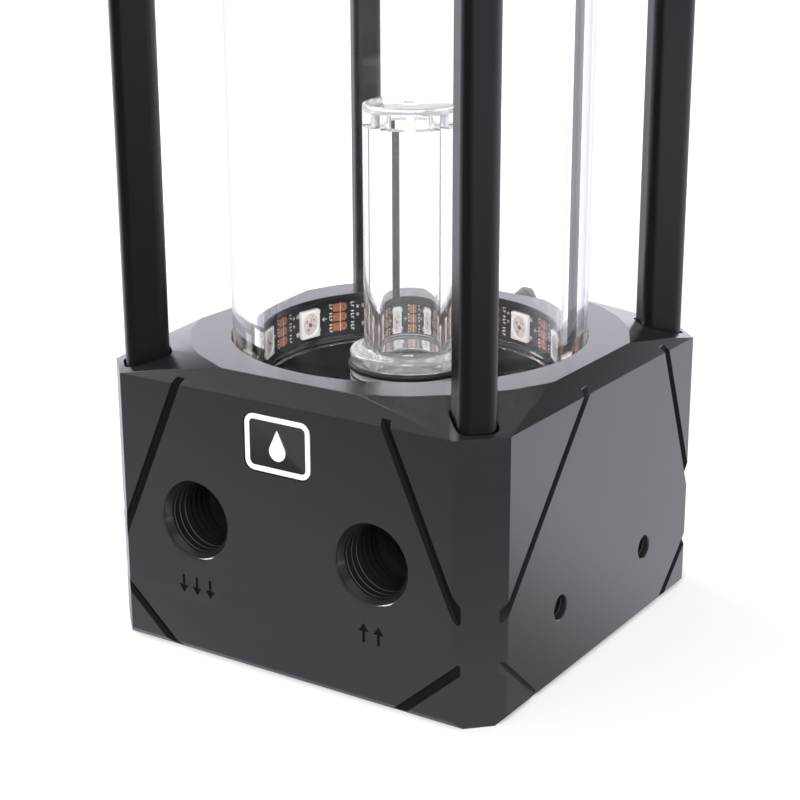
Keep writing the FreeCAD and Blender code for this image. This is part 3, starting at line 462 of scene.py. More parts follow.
def grainyMaterial(name, look):
    material, nodes, links = newMaterial(name)
    shader = nodes["Principled BSDF"]
    setValues(shader, look["shader"])
    grain = nodes.new("ShaderNodeGroup")
    grain.node_tree = grainGroup
    setValues(grain, look["grain"])
    links.new(grain.outputs["Roughness"], shader.inputs["Roughness"])
    bump = bumpNode(nodes, links, grain.outputs["Height"], look["bump"], 0.02)
    links.new(bump, shader.inputs["Normal"])
    color = mixNode(nodes, links, grain.outputs["Cloud"], look["color"], look["second"], "RGBA")
    if "wear" in look:
        wear = nodes.new("ShaderNodeGroup")
        wear.node_tree = wearGroup
        setValues(wear, look["wear"])
        links.new(color, wear.inputs["Color"])
        color = wear.outputs["Color"]
    links.new(color, shader.inputs["Base Color"])
    return material


def clearMaterial(name, look):
    material, nodes, links = newMaterial(name)
    shader = nodes["Principled BSDF"]
    setValues(shader, look["shader"])
    place = nodes.new("ShaderNodeTexCoord").outputs["Object"]
    ripple = noiseNode(nodes, links, place, look["rippleScale"], 2)
    links.new(bumpNode(nodes, links, ripple, look["ripple"], 0.01), shader.inputs["Normal"])
    path = nodes.new("ShaderNodeLightPath").outputs  # light and mirror images pass through
    outside = mathNode(nodes, links, "LESS_THAN", path["Transmission Depth"], 0.5)
    mirrored = mathNode(nodes, links, "MULTIPLY", path["Is Glossy Ray"], outside)
    light = mathNode(nodes, links, "MAXIMUM", path["Is Shadow Ray"], path["Is Diffuse Ray"])
    passing = mathNode(nodes, links, "MAXIMUM", light, mirrored)
    hidden = mathNode(nodes, links, "MULTIPLY", passing, look["passing"])
    links.new(mathNode(nodes, links, "SUBTRACT", 1, hidden), shader.inputs["Alpha"])
    return material


def addTurningRings(material, look):
    # fine rings of the lathe on faces that look straight up
    nodes, links = material.node_tree.nodes, material.node_tree.links
    normal = nodes["Principled BSDF"].inputs["Normal"]
    radius = radiusNode(nodes, links, splitNode(nodes, links, "Object"))
    rings = noiseNode(nodes, links, radius, look["scale"], 2, "W")
    facing = splitNode(nodes, links, "Normal").outputs["Z"]
    level = rangeNode(nodes, links, facing, *look["level"], 0, 1, "LINEAR")
    height = mathNode(nodes, links, "MULTIPLY", rings, level)
    under = normal.links[0].from_socket
    links.new(bumpNode(nodes, links, height, look["strength"], look["depth"], under), normal)


def addTurnedLines(material, look):
    # frosted and clear lines left by the lathe round the foot
    nodes, links = material.node_tree.nodes, material.node_tree.links
    shader = nodes["Principled BSDF"]
    split = splitNode(nodes, links, "Object")
    spot = mathNode(nodes, links, "SUBTRACT", radiusNode(nodes, links, split), split.outputs["Z"])
    lines = noiseNode(nodes, links, spot, look["scale"], 2, "W")
    frosted = rangeNode(nodes, links, lines, look["low"], look["high"], 0, 1)
    links.new(mathNode(nodes, links, "MULTIPLY", frosted, look["rough"]), shader.inputs["Roughness"])
    tint = mixNode(nodes, links, frosted, look["clear"], look["frosted"], "RGBA")
    links.new(tint, shader.inputs["Base Color"])


# finishes
blockLook = {
    "color": (0.0125, 0.012, 0.0135, 1),
    "second": (0.0145, 0.014, 0.0155, 1),
    "shader": {"Metallic": 0.0, "IOR": 2.05},
    "grain": {"Grain Scale": 2600, "Cloud Scale": 30, "Roughness": 0.2, "Spread": 0.05},
    "bump": 0.08,
    "rings": {"scale": 2400, "strength": 0.12, "depth": 0.02, "level": (0.985, 0.999)},
}
rodLook = {
    "color": (0.0028, 0.0028, 0.0034, 1),
    "second": (0.0038, 0.0038, 0.0045, 1),
    "shader": {"Metallic": 0.0, "IOR": 1.6},
    "grain": {
        "Grain Scale": 2600,
        "Cloud Scale": 60,
        "Roughness": 0.33,
        "Spread": 0.05,
        "Stretch": (1, 1, 0.05),
    },
    "bump": 0.1,
}
plateLook = {
    "color": (0.004, 0.004, 0.005, 1),
    "second": (0.007, 0.007, 0.008, 1),
    "shader": {"Metallic": 0.0, "IOR": 1.07},
    "grain": {"Grain Scale": 900, "Cloud Scale": 50, "Roughness": 0.36, "Spread": 0.05},
    "bump": 0.03,
}
rubberLook = {
    "color": (0.006, 0.006, 0.006, 1),
    "second": (0.01, 0.01, 0.01, 1),
    "shader": {"Metallic": 0.0, "Specular IOR Level": 0.25},
    "grain": {"Grain Scale": 3000, "Cloud Scale": 80, "Roughness": 0.5, "Spread": 0.1},
    "bump": 0.2,
}
stripLook = {
    "color": (0.012, 0.012, 0.013, 1),
    "second": (0.02, 0.02, 0.021, 1),
    "shader": {"Metallic": 0.0, "Specular IOR Level": 0.5},
    "grain": {"Grain Scale": 2200, "Cloud Scale": 120, "Roughness": 0.35, "Spread": 0.1},
    "bump": 0.1,
}
steelLook = {
    "color": (0.05, 0.05, 0.052, 1),
    "second": (0.075, 0.075, 0.078, 1),
    "shader": {"Metallic": 0.9, "Specular IOR Level": 0.5},
    "grain": {"Grain Scale": 2500, "Cloud Scale": 150, "Roughness": 0.35, "Spread": 0.12},
    "bump": 0.12,
    "wear": {"Amount": 0.4, "Worn Color": (0.3, 0.3, 0.31, 1), "Low": 0.53, "High": 0.68},
}
shaftLook = dict(steelLook, color=(0.5, 0.5, 0.51, 1), second=(0.6, 0.6, 0.61, 1))
coverLook = dict(steelLook, color=(0.22, 0.22, 0.225, 1), second=(0.3, 0.3, 0.305, 1))
pumpLook = dict(rubberLook, color=(0.016, 0.016, 0.017, 1), second=(0.024, 0.024, 0.025, 1))
impellerLook = dict(rubberLook, color=(0.2, 0.2, 0.21, 1), second=(0.26, 0.26, 0.27, 1))
copperLook = {
    "color": (0.5, 0.17, 0.08, 1),
    "second": (0.62, 0.25, 0.12, 1),
    "shader": {"Metallic": 0.35, "Specular IOR Level": 0.5},
    "grain": {"Grain Scale": 2500, "Cloud Scale": 400, "Roughness": 0.35, "Spread": 0.2},
    "bump": 0.2,
}
tinLook = dict(copperLook, color=(0.75, 0.75, 0.76, 1), second=(0.9, 0.9, 0.9, 1))
tinLook["shader"] = {"Metallic": 1.0}
inkLook = {
    "color": (0.75, 0.75, 0.76, 1),
    "second": (0.86, 0.86, 0.87, 1),
    "shader": {"Metallic": 0.0, "Specular IOR Level": 0.4},
    "grain": {"Grain Scale": 3000, "Cloud Scale": 300, "Roughness": 0.5, "Spread": 0.15},
    "bump": 0.1,
}
lampLook = dict(inkLook, color=(0.95, 0.91, 0.9, 1), second=(0.98, 0.94, 0.93, 1))
lensLook = dict(inkLook, color=(0.72, 0.63, 0.6, 1), second=(0.86, 0.77, 0.74, 1))
lensLook["shader"] = {"Metallic": 0.0, "Specular IOR Level": 0.6, "Coat Weight": 0.6, "Coat Roughness": 0.05}
tubeLook = {
    "shader": {
        "Transmission Weight": 1.0,
        "IOR": 1.49,
        "Roughness": 0.0,
        "Base Color": (0.99, 0.993, 0.996, 1),
    },
    "rippleScale": 60,
    "ripple": 0.04,
    "passing": 0.96,
}
pipeLook = dict(tubeLook, rippleScale=150)
pipeLook["shader"] = dict(tubeLook["shader"], **{"Transmission Weight": 0.972})
footLook = dict(pipeLook, ripple=0.1)
footLook["shader"] = dict(pipeLook["shader"], **{"Transmission Weight": 0.77})
footLook["lines"] = {
    "scale": 1300,
    "low": 0.4,
    "high": 0.62,
    "rough": 0.22,
    "clear": (1.0, 1.0, 1.0, 1),
    "frosted": (0.68, 0.68, 0.73, 1),
}
capLook = dict(pipeLook)
capLook["shader"] = {
    "Transmission Weight": 0.86,
    "IOR": 1.49,
    "Roughness": 0.02,
    "Base Color": (0.98, 0.98, 1, 1),
}
# painted highlight: a lighter colour for the thread crests near the port mouths
crestHighlightLook = dict(blockLook, color=(0.07, 0.068, 0.074, 1), second=(0.1, 0.098, 0.104, 1))
wireLook = dict(rubberLook, color=(0.17, 0.17, 0.18, 1), second=(0.24, 0.24, 0.25, 1))
connectorLook = dict(inkLook, color=(0.72, 0.71, 0.67, 1), second=(0.8, 0.79, 0.75, 1))
# near black: the colour of engraved marks and the badge seat, and painted shade on groove floors and thread
# flanks
engravedAndShadeLook = dict(rubberLook, color=(0.0045, 0.0045, 0.005, 1), second=(0.007, 0.007, 0.0075, 1))
dieLook = dict(copperLook, color=(0.22, 0.09, 0.055, 1), second=(0.3, 0.14, 0.09, 1))

blockMaterial = grainyMaterial("blackAnodised", blockLook)
addTurningRings(blockMaterial, blockLook["rings"])
rodMaterial = grainyMaterial("rodAnodised", rodLook)
plateMaterial = grainyMaterial("glossPlate", plateLook)
rubberMaterial = grainyMaterial("sealRubber", rubberLook)
stripMaterial = grainyMaterial("stripFilm", stripLook)
steelMaterial = grainyMaterial("blackenedSteel", steelLook)
shaftMaterial = grainyMaterial("groundSteel", shaftLook)
coverMaterial = grainyMaterial("turnedCover", coverLook)
pumpMaterial = grainyMaterial("mouldedPump", pumpLook)
impellerMaterial = grainyMaterial("mouldedImpeller", impellerLook)
copperMaterial = grainyMaterial("copperPad", copperLook)
tinMaterial = grainyMaterial("tinnedLead", tinLook)
inkMaterial = grainyMaterial("whiteInk", inkLook)
lampMaterial = grainyMaterial("lampBody", lampLook)
lensMaterial = grainyMaterial("lampLens", lensLook)
tubeMaterial = clearMaterial("clearTube", tubeLook)
pipeMaterial = clearMaterial("clearPipe", pipeLook)
footMaterial = clearMaterial("turnedClearFoot", footLook)
addTurnedLines(footMaterial, footLook["lines"])
capMaterial = clearMaterial("clearCap", capLook)
crestHighlightMaterial = grainyMaterial("paintedCrestHighlight", crestHighlightLook)
wireMaterial = grainyMaterial("leadWire", wireLook)
connectorMaterial = grainyMaterial("connectorWhite", connectorLook)
engravedAndShadeMaterial = grainyMaterial("engravedAndPaintedShade", engravedAndShadeLook)
dieMaterial = grainyMaterial("lampDie", dieLook)

nodeMaterials = {
    "base_block": blockMaterial,
    "top_cap": blockMaterial,
    "floor_plate": plateMaterial,
    "reservoir_tube": tubeMaterial,
    "standpipe": pipeMaterial,
    "standpipe_cap": pipeMaterial,
    "led_strip": stripMaterial,
    "led_chips": lampMaterial,
    "rod_front_left": rodMaterial,
    "rod_front_right": rodMaterial,
    "rod_back_left": rodMaterial,
    "rod_back_right": rodMaterial,
    "rod_screws_lower": steelMaterial,
    "rod_screws_upper": steelMaterial,
    "fill_plug": rodMaterial,
    "pump_housing": pumpMaterial,
    "pump_cover": coverMaterial,
    "pump_screws": steelMaterial,
    "pump_shaft": shaftMaterial,
    "impeller": impellerMaterial,
    "lead_connector": connectorMaterial,
}
for nodeName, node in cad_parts.items():
    dress(node, nodeMaterials.get(nodeName, rubberMaterial))
print("stage: finishes")


# lamp lead, in its own material
finishPiece(leadStrands, "lampLeadStrands", "housing", None, 0)
pick(leadStrands)
bpy.ops.object.convert(target="MESH")
dress(leadStrands, wireMaterial)
bpy.ops.object.shade_smooth_by_angle(angle=math.radians(60))
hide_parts("lamp_lead")
print("stage: lamp lead")


# base block and top cap, with softened edges
edgeSettings = {"blockEdge": 0.16, "capEdge": 0.16, "flatAngle": 1.5, "ridgeLow": 8, "ridgeHigh": 20}
# the groove floors inside these bounds get painted shade
grooveSettings = {"outer": -37.78, "inner": -36.9, "across": 36, "bottom": 1, "top": 45}


def softenedCopy(nodeName, width):
    obj = copyOf(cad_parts[nodeName])
    obj.parent = None
    for key in list(obj.keys()):
        del obj[key]
    inEditMode(obj)
    bpy.ops.mesh.remove_doubles(threshold=0.000002)
    bpy.ops.mesh.dissolve_limited(angle_limit=math.radians(edgeSettings["flatAngle"]))
    bpy.ops.object.mode_set(mode="OBJECT")
    addBevel(obj, width, 2, 32)
    applyModifiers(obj)
    return obj


def evenShading(obj):
    # flat faces stay flat, and the shallow cone meets the disc in a crisp line
    pick(obj)
    bpy.ops.object.shade_smooth_by_angle(angle=math.radians(40))
    beside = {}
    for face in obj.data.polygons:
        for key in face.edge_keys:
            beside.setdefault(key, []).append(face.normal.copy())
    for edge in obj.data.edges:
        normals = beside.get(edge.key, [])
        if len(normals) == 2 and max(abs(normal.z) for normal in normals) > 0.999:
            turn = math.degrees(normals[0].angle(normals[1]))
            if edgeSettings["ridgeLow"] < turn < edgeSettings["ridgeHigh"]:
                edge.use_edge_sharp = True
    modifier = obj.modifiers.new("even", "WEIGHTED_NORMAL")
    modifier.mode = "FACE_AREA"
    modifier.keep_sharp = True
    applyModifiers(obj)


blockShell = softenedCopy("base_block", edgeSettings["blockEdge"])
print("stage: block edges")


# flow marks engraved under the two ports: three small arrows out, two in
mark = {
    "outlet": -17.23,
    "inlet": 17.23,
    "level": 12.3,
    "tall": 3.2,
    "head": 1.35,
    "headWide": 1.9,
    "stem": 0.5,
    "pitch": 2.75,
    "deep": 0.25,
    "face": -38,
}


def filledOutline(spots, depth, place, material):
    # a flat outline filled and given its thickness, facing the front
    obj = drawnProfile(spots + [spots[0]])
    inEditMode(obj)
    bpy.ops.mesh.remove_doubles(threshold=0.000001)
    bpy.ops.mesh.select_all(action="SELECT")
    bpy.ops.mesh.edge_face_add()
    bpy.ops.mesh.extrude_region_move(TRANSFORM_OT_translate={"value": (0, depth * mm, 0)})
    bpy.ops.mesh.select_all(action="SELECT")
    bpy.ops.mesh.normals_make_consistent(inside=False)
    bpy.ops.object.mode_set(mode="OBJECT")
    obj.location = Vector(place) * mm
    settle(obj)
    obj.data.materials.append(material)
    return obj


def flowArrow(across, way):
    tip = mark["tall"] / 2 * way
    neck = tip - mark["head"] * way
    spots = [
        (0, tip),
        (mark["headWide"] / 2, neck),
        (mark["stem"] / 2, neck),
        (mark["stem"] / 2, -tip),
        (-mark["stem"] / 2, -tip),
        (-mark["stem"] / 2, neck),
        (-mark["headWide"] / 2, neck),
    ]
    place = (across, mark["face"] - mark["deep"], mark["level"])
    return filledOutline(spots, 2 * mark["deep"], place, engravedAndShadeMaterial)


marks = [flowArrow(mark["outlet"] + step * mark["pitch"], -1) for step in (-1, 0, 1)]
marks += [flowArrow(mark["inlet"] + step * mark["pitch"], 1) for step in (-0.5, 0.5)]
cutFrom(blockShell, joinPieces(marks))
print("stage: flow marks")


# badge on the front: a plain white frame round a drop, in a shallow seat
badgeShape = {
    "place": (-0.17, 39.8),
    "seat": (12.9, 9.7),
    "plate": (12.5, 9.3),
    "corner": 1.7,
    "rim": 0.85,
    "seatDeep": 0.4,
    "plateFace": 0.05,
    "sunk": 0.15,
    "drop": 1.55,
    "dropTip": 3.5,
    "dropLow": -0.95,
}


def roundedOutline(wide, tall, corner, steps=8):
    spots = []
    for signX, signZ, start in ((1, 1, 0), (-1, 1, 90), (-1, -1, 180), (1, -1, 270)):
        centre = (signX * (wide / 2 - corner), signZ * (tall / 2 - corner))
        spots += arcPoints(centre, corner, start, start + 90, steps)
    return spots


badgeX, badgeZ = badgeShape["place"]
seat = filledOutline(
    roundedOutline(*badgeShape["seat"], badgeShape["corner"] + 0.2),
    badgeShape["seatDeep"] + 0.5,
    (badgeX, mark["face"] - 0.5, badgeZ),
    engravedAndShadeMaterial,
)
cutFrom(blockShell, seat)
frontFace = mark["face"] + badgeShape["plateFace"]
badge = filledOutline(
    roundedOutline(*badgeShape["plate"], badgeShape["corner"]),
    badgeShape["seatDeep"] - badgeShape["plateFace"],
    (badgeX, frontFace, badgeZ),
    inkMaterial,
)
badge.data.materials.append(blockMaterial)
inEditMode(badge)
bpy.ops.mesh.select_all(action="DESELECT")
bpy.ops.object.mode_set(mode="OBJECT")
for face in badge.data.polygons:
    face.select = face.normal.y < -0.9
bpy.ops.object.mode_set(mode="EDIT")
bpy.ops.mesh.inset(thickness=badgeShape["rim"] * mm)
bpy.ops.object.mode_set(mode="OBJECT")
for face in badge.data.polygons:
    if face.select:
        face.material_index = 1
bpy.ops.object.mode_set(mode="EDIT")
bpy.ops.mesh.extrude_region_move(TRANSFORM_OT_translate={"value": (0, badgeShape["sunk"] * mm, 0)})
bpy.ops.object.mode_set(mode="OBJECT")
addBevel(badge, 0.06, 2, 50)
applyModifiers(badge)
dropSpots = [(0, badgeShape["dropTip"])] + arcPoints((0, 0), badgeShape["drop"], 153, 387, 22)
drop = filledOutline(
    dropSpots, badgeShape["sunk"] + 0.02, (badgeX, frontFace, badgeZ + badgeShape["dropLow"]), inkMaterial
)
addBevel(drop, 0.05, 2, 50)
applyModifiers(drop)
badge = joinPieces([badge, drop])
finishPiece(badge, "frontBadge", "housing", None, 40)
print("stage: badge")

grooveSlot = blockShell.data.materials.find(engravedAndShadeMaterial.name)
groove = grooveSettings
for face in blockShell.data.polygons:  # the floors of the slanting grooves of the front are painted near black, as painted shade in the grooves
    spot = face.center / mm
    sunk = groove["outer"] < spot.y < groove["inner"] and face.normal.y < -0.99
    if sunk and abs(spot.x) < groove["across"] and groove["bottom"] < spot.z < groove["top"]:
        face.material_index = grooveSlot
finishPiece(blockShell, "blockShell", "housing", None, 0)
evenShading(blockShell)
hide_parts("base_block")
capShell = softenedCopy("top_cap", edgeSettings["capEdge"])
finishPiece(capShell, "capShell", "housing", [blockMaterial], 0)
evenShading(capShell)
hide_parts("top_cap")
print("stage: block and cap")


# clear tube
tube = {"inner": 26, "outer": 30, "foot": 41.12, "top": 191.08, "edge": 0.25}
tubePiece = turnedPiece(
    [
        (tube["inner"] + tube["edge"], tube["foot"]),
        (tube["outer"] - tube["edge"], tube["foot"]),
        (tube["outer"], tube["foot"] + tube["edge"]),
        (tube["outer"], tube["top"] - tube["edge"]),
        (tube["outer"] - tube["edge"], tube["top"]),
        (tube["inner"] + tube["edge"], tube["top"]),
        (tube["inner"], tube["top"] - tube["edge"]),
        (tube["inner"], tube["foot"] + tube["edge"]),
        (tube["inner"] + tube["edge"], tube["foot"]),
    ],
    steps=256,
)
finishPiece(tubePiece, "tubeWall", "housing", [tubeMaterial])
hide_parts("reservoir_tube")
print("stage: tube")


# standpipe with its stepped foot, windows and cap
pipe = {
    "inner": 5.0,
    "outer": 7.83,
    "foot": 38.12,
    "spigot": 9.5,
    "flange": 10.25,
    "floor": 41.12,
    "ringLow": 42.5,
    "seatTop": 44.6,
    "flangeBase": 45.15,
    "flangeTop": 47.6,
    "fillet": 0.9,
    "windowLow": 84.9,
    "crown": 87.28,
    "capTop": 88.6,
    "windows": 8,
    "windowHalf": 15,
    "windowTurn": 10.5,
    "ringOut": 0.5,
    "ringDown": 0.62,
    "ringThick": 0.58,
}
outerLine = [
    (pipe["spigot"], pipe["foot"]),
    (pipe["spigot"], pipe["floor"]),
    (pipe["flange"], pipe["floor"]),
    (pipe["flange"], pipe["ringLow"]),
    (pipe["spigot"], pipe["ringLow"]),
    (pipe["spigot"], pipe["ringLow"] + 0.7),
    (pipe["flange"], pipe["ringLow"] + 0.7),
    (pipe["flange"], pipe["seatTop"] - 0.7),
    (pipe["spigot"], pipe["seatTop"] - 0.7),
    (pipe["spigot"], pipe["flangeBase"]),
    (pipe["flange"] - 0.2, pipe["flangeBase"]),
]
outerLine += arcPoints((pipe["flange"] - 0.5, pipe["flangeTop"] - 0.9), 0.5, -20, 80, 6)
outerLine += [(pipe["outer"] + 1.1, pipe["flangeTop"] - 0.3)]
filletCentre = (pipe["outer"] + pipe["fillet"], pipe["flangeTop"] + pipe["fillet"] - 0.25)
outerLine += arcPoints(filletCentre, pipe["fillet"], 265, 180, 7)
outerLine += [(pipe["outer"], pipe["crown"])]
innerLine = [
    (pipe["inner"], pipe["crown"]),
    (pipe["inner"], pipe["flangeTop"] - 0.5),
    (pipe["inner"] + 0.25, pipe["flangeTop"] - 2.0),
    (pipe["inner"] + 0.9, pipe["foot"] + 1.2),
    (pipe["inner"] + 1.3, pipe["foot"]),
]
standpipe = turnedPiece(outerLine + innerLine + [outerLine[0]], steps=160)
widening = math.tan(math.radians(pipe["windowHalf"]))
middle = (pipe["outer"] + pipe["inner"]) / 2
cutters = []
for turn in range(pipe["windows"]):
    wedge = addCube((pipe["outer"] - pipe["inner"] + 2, 1, 4), (middle, 0, pipe["windowLow"] + 2))
    for corner in wedge.data.vertices:
        reach = pipe["inner"] - 1 if corner.co.x < middle * mm else pipe["outer"] + 1
        corner.co.y = math.copysign(reach * widening * mm, corner.co.y)
    turnAbout(wedge, pipe["windowTurn"] + 360 / pipe["windows"] * turn)
    cutters.append(wedge)
cutFrom(standpipe, joinPieces(cutters))
finishPiece(standpipe, "standpipeBody", "housing", [pipeMaterial, footMaterial, capMaterial])
for face in standpipe.data.polygons:  # turned faces of the stepped foot, less clear than the pipe
    low = face.center.z < (pipe["flangeTop"] + 0.2) * mm
    face.material_index = int(low and face.center.xy.length > (pipe["outer"] + 0.3) * mm)
    if face.center.z > (pipe["windowLow"] - 0.05) * mm:
        face.material_index = 2
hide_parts("standpipe")
ringCentre = (pipe["spigot"] + pipe["ringOut"], pipe["flangeBase"] - pipe["ringDown"])
ringSpots = arcPoints(ringCentre, pipe["ringThick"], 0, 360, 20)
footRing = turnedPiece(ringSpots[:-1] + ringSpots[:1], steps=96)
finishPiece(footRing, "standpipeRing", "housing", [rubberMaterial], 60)
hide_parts("standpipe_seal_upper")
capLine = [(0, pipe["crown"] + 0.04), (pipe["outer"], pipe["crown"] + 0.04)]
capLine += arcPoints((pipe["outer"] - 0.6, pipe["capTop"] - 0.6), 0.6, 0, 90, 6)
capLine += [(1.2, pipe["capTop"]), (0.9, pipe["capTop"] - 0.35), (0, pipe["capTop"] - 0.45)]
pipeTop = turnedPiece(capLine, steps=160)
finishPiece(pipeTop, "standpipeTop", "housing", [capMaterial])
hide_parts("standpipe_cap")
print("stage: standpipe")


# lamps on the strip: body, round well with its resin, dies and tinned ends
lamp = {
    "count": 12,
    "start": 15,
    "side": 5.05,
    "back": 31.6,
    "face": 30.25,
    "level": 45.2,
    "edge": 0.13,
    "well": 2.05,
    "wellDeep": 0.35,
    "resin": 0.2,
    "seam": (0.02, 3.4, 0.1),
    "seamTurns": (20, 110),
    "die": (0.06, 0.85, 0.62),
    "diePlace": (0.05, -0.1),
    "chip": (0.05, 0.34, 0.34),
    "chipPlaces": ((-0.95, 0.75), (0.9, 0.7), (0.75, -0.95)),
    "end": (0.55, 0.95, 0.85),
    "endFromBack": 0.42,
    "endPlaces": ((-3.0, 1.75), (-3.0, -1.75), (3.0, 1.75), (3.0, -1.75)),
}
facingIn = (0, math.radians(90), 0)


def addDisc(radius, depth, outer, across, up, material, steps):
    place = (outer + depth / 2, across, lamp["level"] + up)
    disc = addCylinder(radius, depth, place, steps, facingIn)
    addBevel(disc, min(depth, radius) * 0.25, 2)
    applyModifiers(disc)
    disc.data.materials.append(material)
    return disc


def addTile(size, outer, across, up, material, edge, turn=0.0):
    tile = addCube(size, (outer + size[0] / 2, 0, 0))
    addBevel(tile, edge, 1)
    applyModifiers(tile)
    tile.rotation_euler = (math.radians(turn), 0, 0)
    tile.location = Vector((0, across, lamp["level"] + up)) * mm
    settle(tile)
    tile.data.materials.append(material)
    return tile


def makeLamp():
    size = (lamp["back"] - lamp["face"], lamp["side"], lamp["side"])
    body = addCube(size, ((lamp["back"] + lamp["face"]) / 2, 0, lamp["level"]))
    addBevel(body, lamp["edge"], 2)
    applyModifiers(body)
    body.data.materials.append(lampMaterial)
    mouth = (lamp["face"], 0, lamp["level"])
    well = addCylinder(lamp["well"], 2 * lamp["wellDeep"], mouth, 48, facingIn)
    well.data.materials.append(lampMaterial)
    cutFrom(body, well)
    resinFace = lamp["face"] + lamp["resin"]
    resinDeep = lamp["wellDeep"] - lamp["resin"]
    parts = [body, addDisc(lamp["well"] - 0.02, resinDeep, resinFace, 0, 0, lensMaterial, 48)]

    def onResin(size, across, up, edge, turn=0.0):
        parts.append(addTile(size, resinFace - size[0], across, up, dieMaterial, edge, turn))

    for turn in lamp["seamTurns"]:  # seams of the metal under the resin
        onResin(lamp["seam"], 0, 0, 0.005, turn)
    onResin(lamp["die"], *lamp["diePlace"], 0.02, lamp["seamTurns"][0])
    for spot in lamp["chipPlaces"]:
        onResin(lamp["chip"], *spot, 0.02)
    for spot in lamp["endPlaces"]:
        parts.append(addTile(lamp["end"], lamp["back"] - lamp["endFromBack"], *spot, tinMaterial, 0.2))
    return joinPieces(parts)


def aroundRing(first, name):
    turnAbout(first, lamp["start"])
    ring = [first]
    for index in range(1, lamp["count"]):
        following = copyOf(first)
        turnAbout(following, 360 / lamp["count"] * index)
        ring.append(following)
    return finishPiece(joinPieces(ring), name, "housing", None)


lampRing = aroundRing(makeLamp(), "lampRing")
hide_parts("led_chips")
print("stage: lamps")


# printed strip between the lamps: cut pads, a small arrow, rows of marks, solder dots
strip = {
    "surface": 31.75,
    "padPlace": -8.3,
    "padWide": 3.3,
    "padTall": 1.5,
    "padPitch": 1.82,
    "padThick": 0.05,
    "padHole": 0.16,
    "line": (0.02, 0.13, 5.5),
    "linePlace": -8.4,
    "arrowPlace": -4.65,
    "stem": (0.02, 1.1, 0.14),
    "barb": (0.02, 0.62, 0.14),
    "barbTurn": 42,
    "rowPlaces": (-6.15, -11.2),
    "rowLevels": (2.35, 1.75, 0.75, 0.15, -0.45, -1.4, -2.0, -2.6),
    "strokeLongs": (0.8, 0.62, 0.74),
    "upright": (0.02, 0.17, 0.42),
    "uprightPlaces": (0.28, -0.26, 0.0),
    "dot": (0.3, 0.12),
    "dotPlace": -12.35,
    "dotLevels": (1.6, 0.1),
}


def onStrip(obj, along):
    # moved round the ring by that many millimetres
    turnAbout(obj, math.degrees(along / strip["surface"]))
    return obj


def printedTile(size, across, up, lift=0, turn=0.0):
    outer = strip["surface"] - lift - size[0]
    return addTile(size, outer, across, up, inkMaterial, 0.004, turn)


def makePad(up):
    flat = strip["surface"] - strip["padThick"]
    half = strip["padWide"] / 2
    bend = strip["padTall"] / 2
    spots = [(half, bend), (half, -bend)]
    spots += arcPoints((-half + bend, 0), bend, 270, 90, 10)
    pad = filledOutline(spots, strip["padThick"], (0, 0, 0), copperMaterial)
    pad.rotation_euler = (0, 0, math.radians(90))
    pad.location = Vector((strip["surface"], 0, lamp["level"] + up)) * mm
    settle(pad)
    hole = addDisc(strip["padHole"], 0.02, flat - 0.02, -half + bend, 0, stripMaterial, 14)
    hole.location = Vector((0, 0, up)) * mm
    settle(hole)
    return joinPieces([pad, hole])


def makeStripPrint():
    parts = [onStrip(makePad(row * strip["padPitch"]), strip["padPlace"]) for row in (-1, 0, 1)]
    parts.append(onStrip(printedTile(strip["line"], 0, 0, strip["padThick"]), strip["linePlace"]))
    arrow = [printedTile(strip["stem"], 0, 0)]
    for side in (-1, 1):
        arrow.append(printedTile(strip["barb"], 0.34, side * 0.2, 0, -side * strip["barbTurn"]))
    parts.append(onStrip(joinPieces(arrow), strip["arrowPlace"]))
    for place in strip["rowPlaces"]:
        for index, up in enumerate(strip["rowLevels"]):
            stroke = (0.02, strip["strokeLongs"][index % 3], 0.2)
            parts.append(onStrip(printedTile(stroke, 0, up + 0.11), place))
            across = strip["uprightPlaces"][index % 3]
            parts.append(onStrip(printedTile(strip["upright"], across, up), place))
    for up in strip["dotLevels"]:
        radius, depth = strip["dot"]
        dot = addDisc(radius, depth, strip["surface"] - depth, 0, up, tinMaterial, 16)
        parts.append(onStrip(dot, strip["dotPlace"]))
    return joinPieces(parts)


aroundRing(makeStripPrint(), "stripPrint")
print("stage: strip print")


# thread ridges in the ports and side holes
thread = {
    "portOuter": 6.57,
    "portInner": 5.75,
    "portPitch": 1.337,
    "portLength": 10.5,
    "portPlace": (17.23, -37.4, 23.9),
    "leadIn": 5.95,
    "leadInFrom": -0.2,
    "leadInTo": 0.9,
    "holeOuter": 1.995,
    "holeInner": 1.65,
    "holePitch": 0.7,
    "holeLength": 8,
    "holePlace": (37.6, 15, 13.25),
    "flanks": (0.06, 0.86, 1.14, 1.94),
    "crest": 0.3,
    # depth to which thread crests get the painted highlight
    "highlightDepth": 4.4,
}


def makeThread(outer, inner, pitch, length, steps):
    rise, crest, fall, end = (pitch * 0.5 * share for share in thread["flanks"])
    obj = drawnProfile([(outer, rise), (inner, crest), (inner, fall), (outer, end), (outer, rise)])
    modifier = obj.modifiers.new("thread", "SCREW")
    modifier.steps = steps
    modifier.render_steps = steps
    modifier.screw_offset = pitch * mm
    modifier.iterations = int(length / pitch)
    applyModifiers(obj)
    inEditMode(obj)
    bpy.ops.mesh.remove_doubles(threshold=0.000001)
    bpy.ops.mesh.select_all(action="DESELECT")
    bpy.ops.mesh.select_non_manifold(extend=False)
    bpy.ops.mesh.fill()
    bpy.ops.mesh.select_all(action="SELECT")
    bpy.ops.mesh.normals_make_consistent(inside=False)
    bpy.ops.object.mode_set(mode="OBJECT")
    return obj


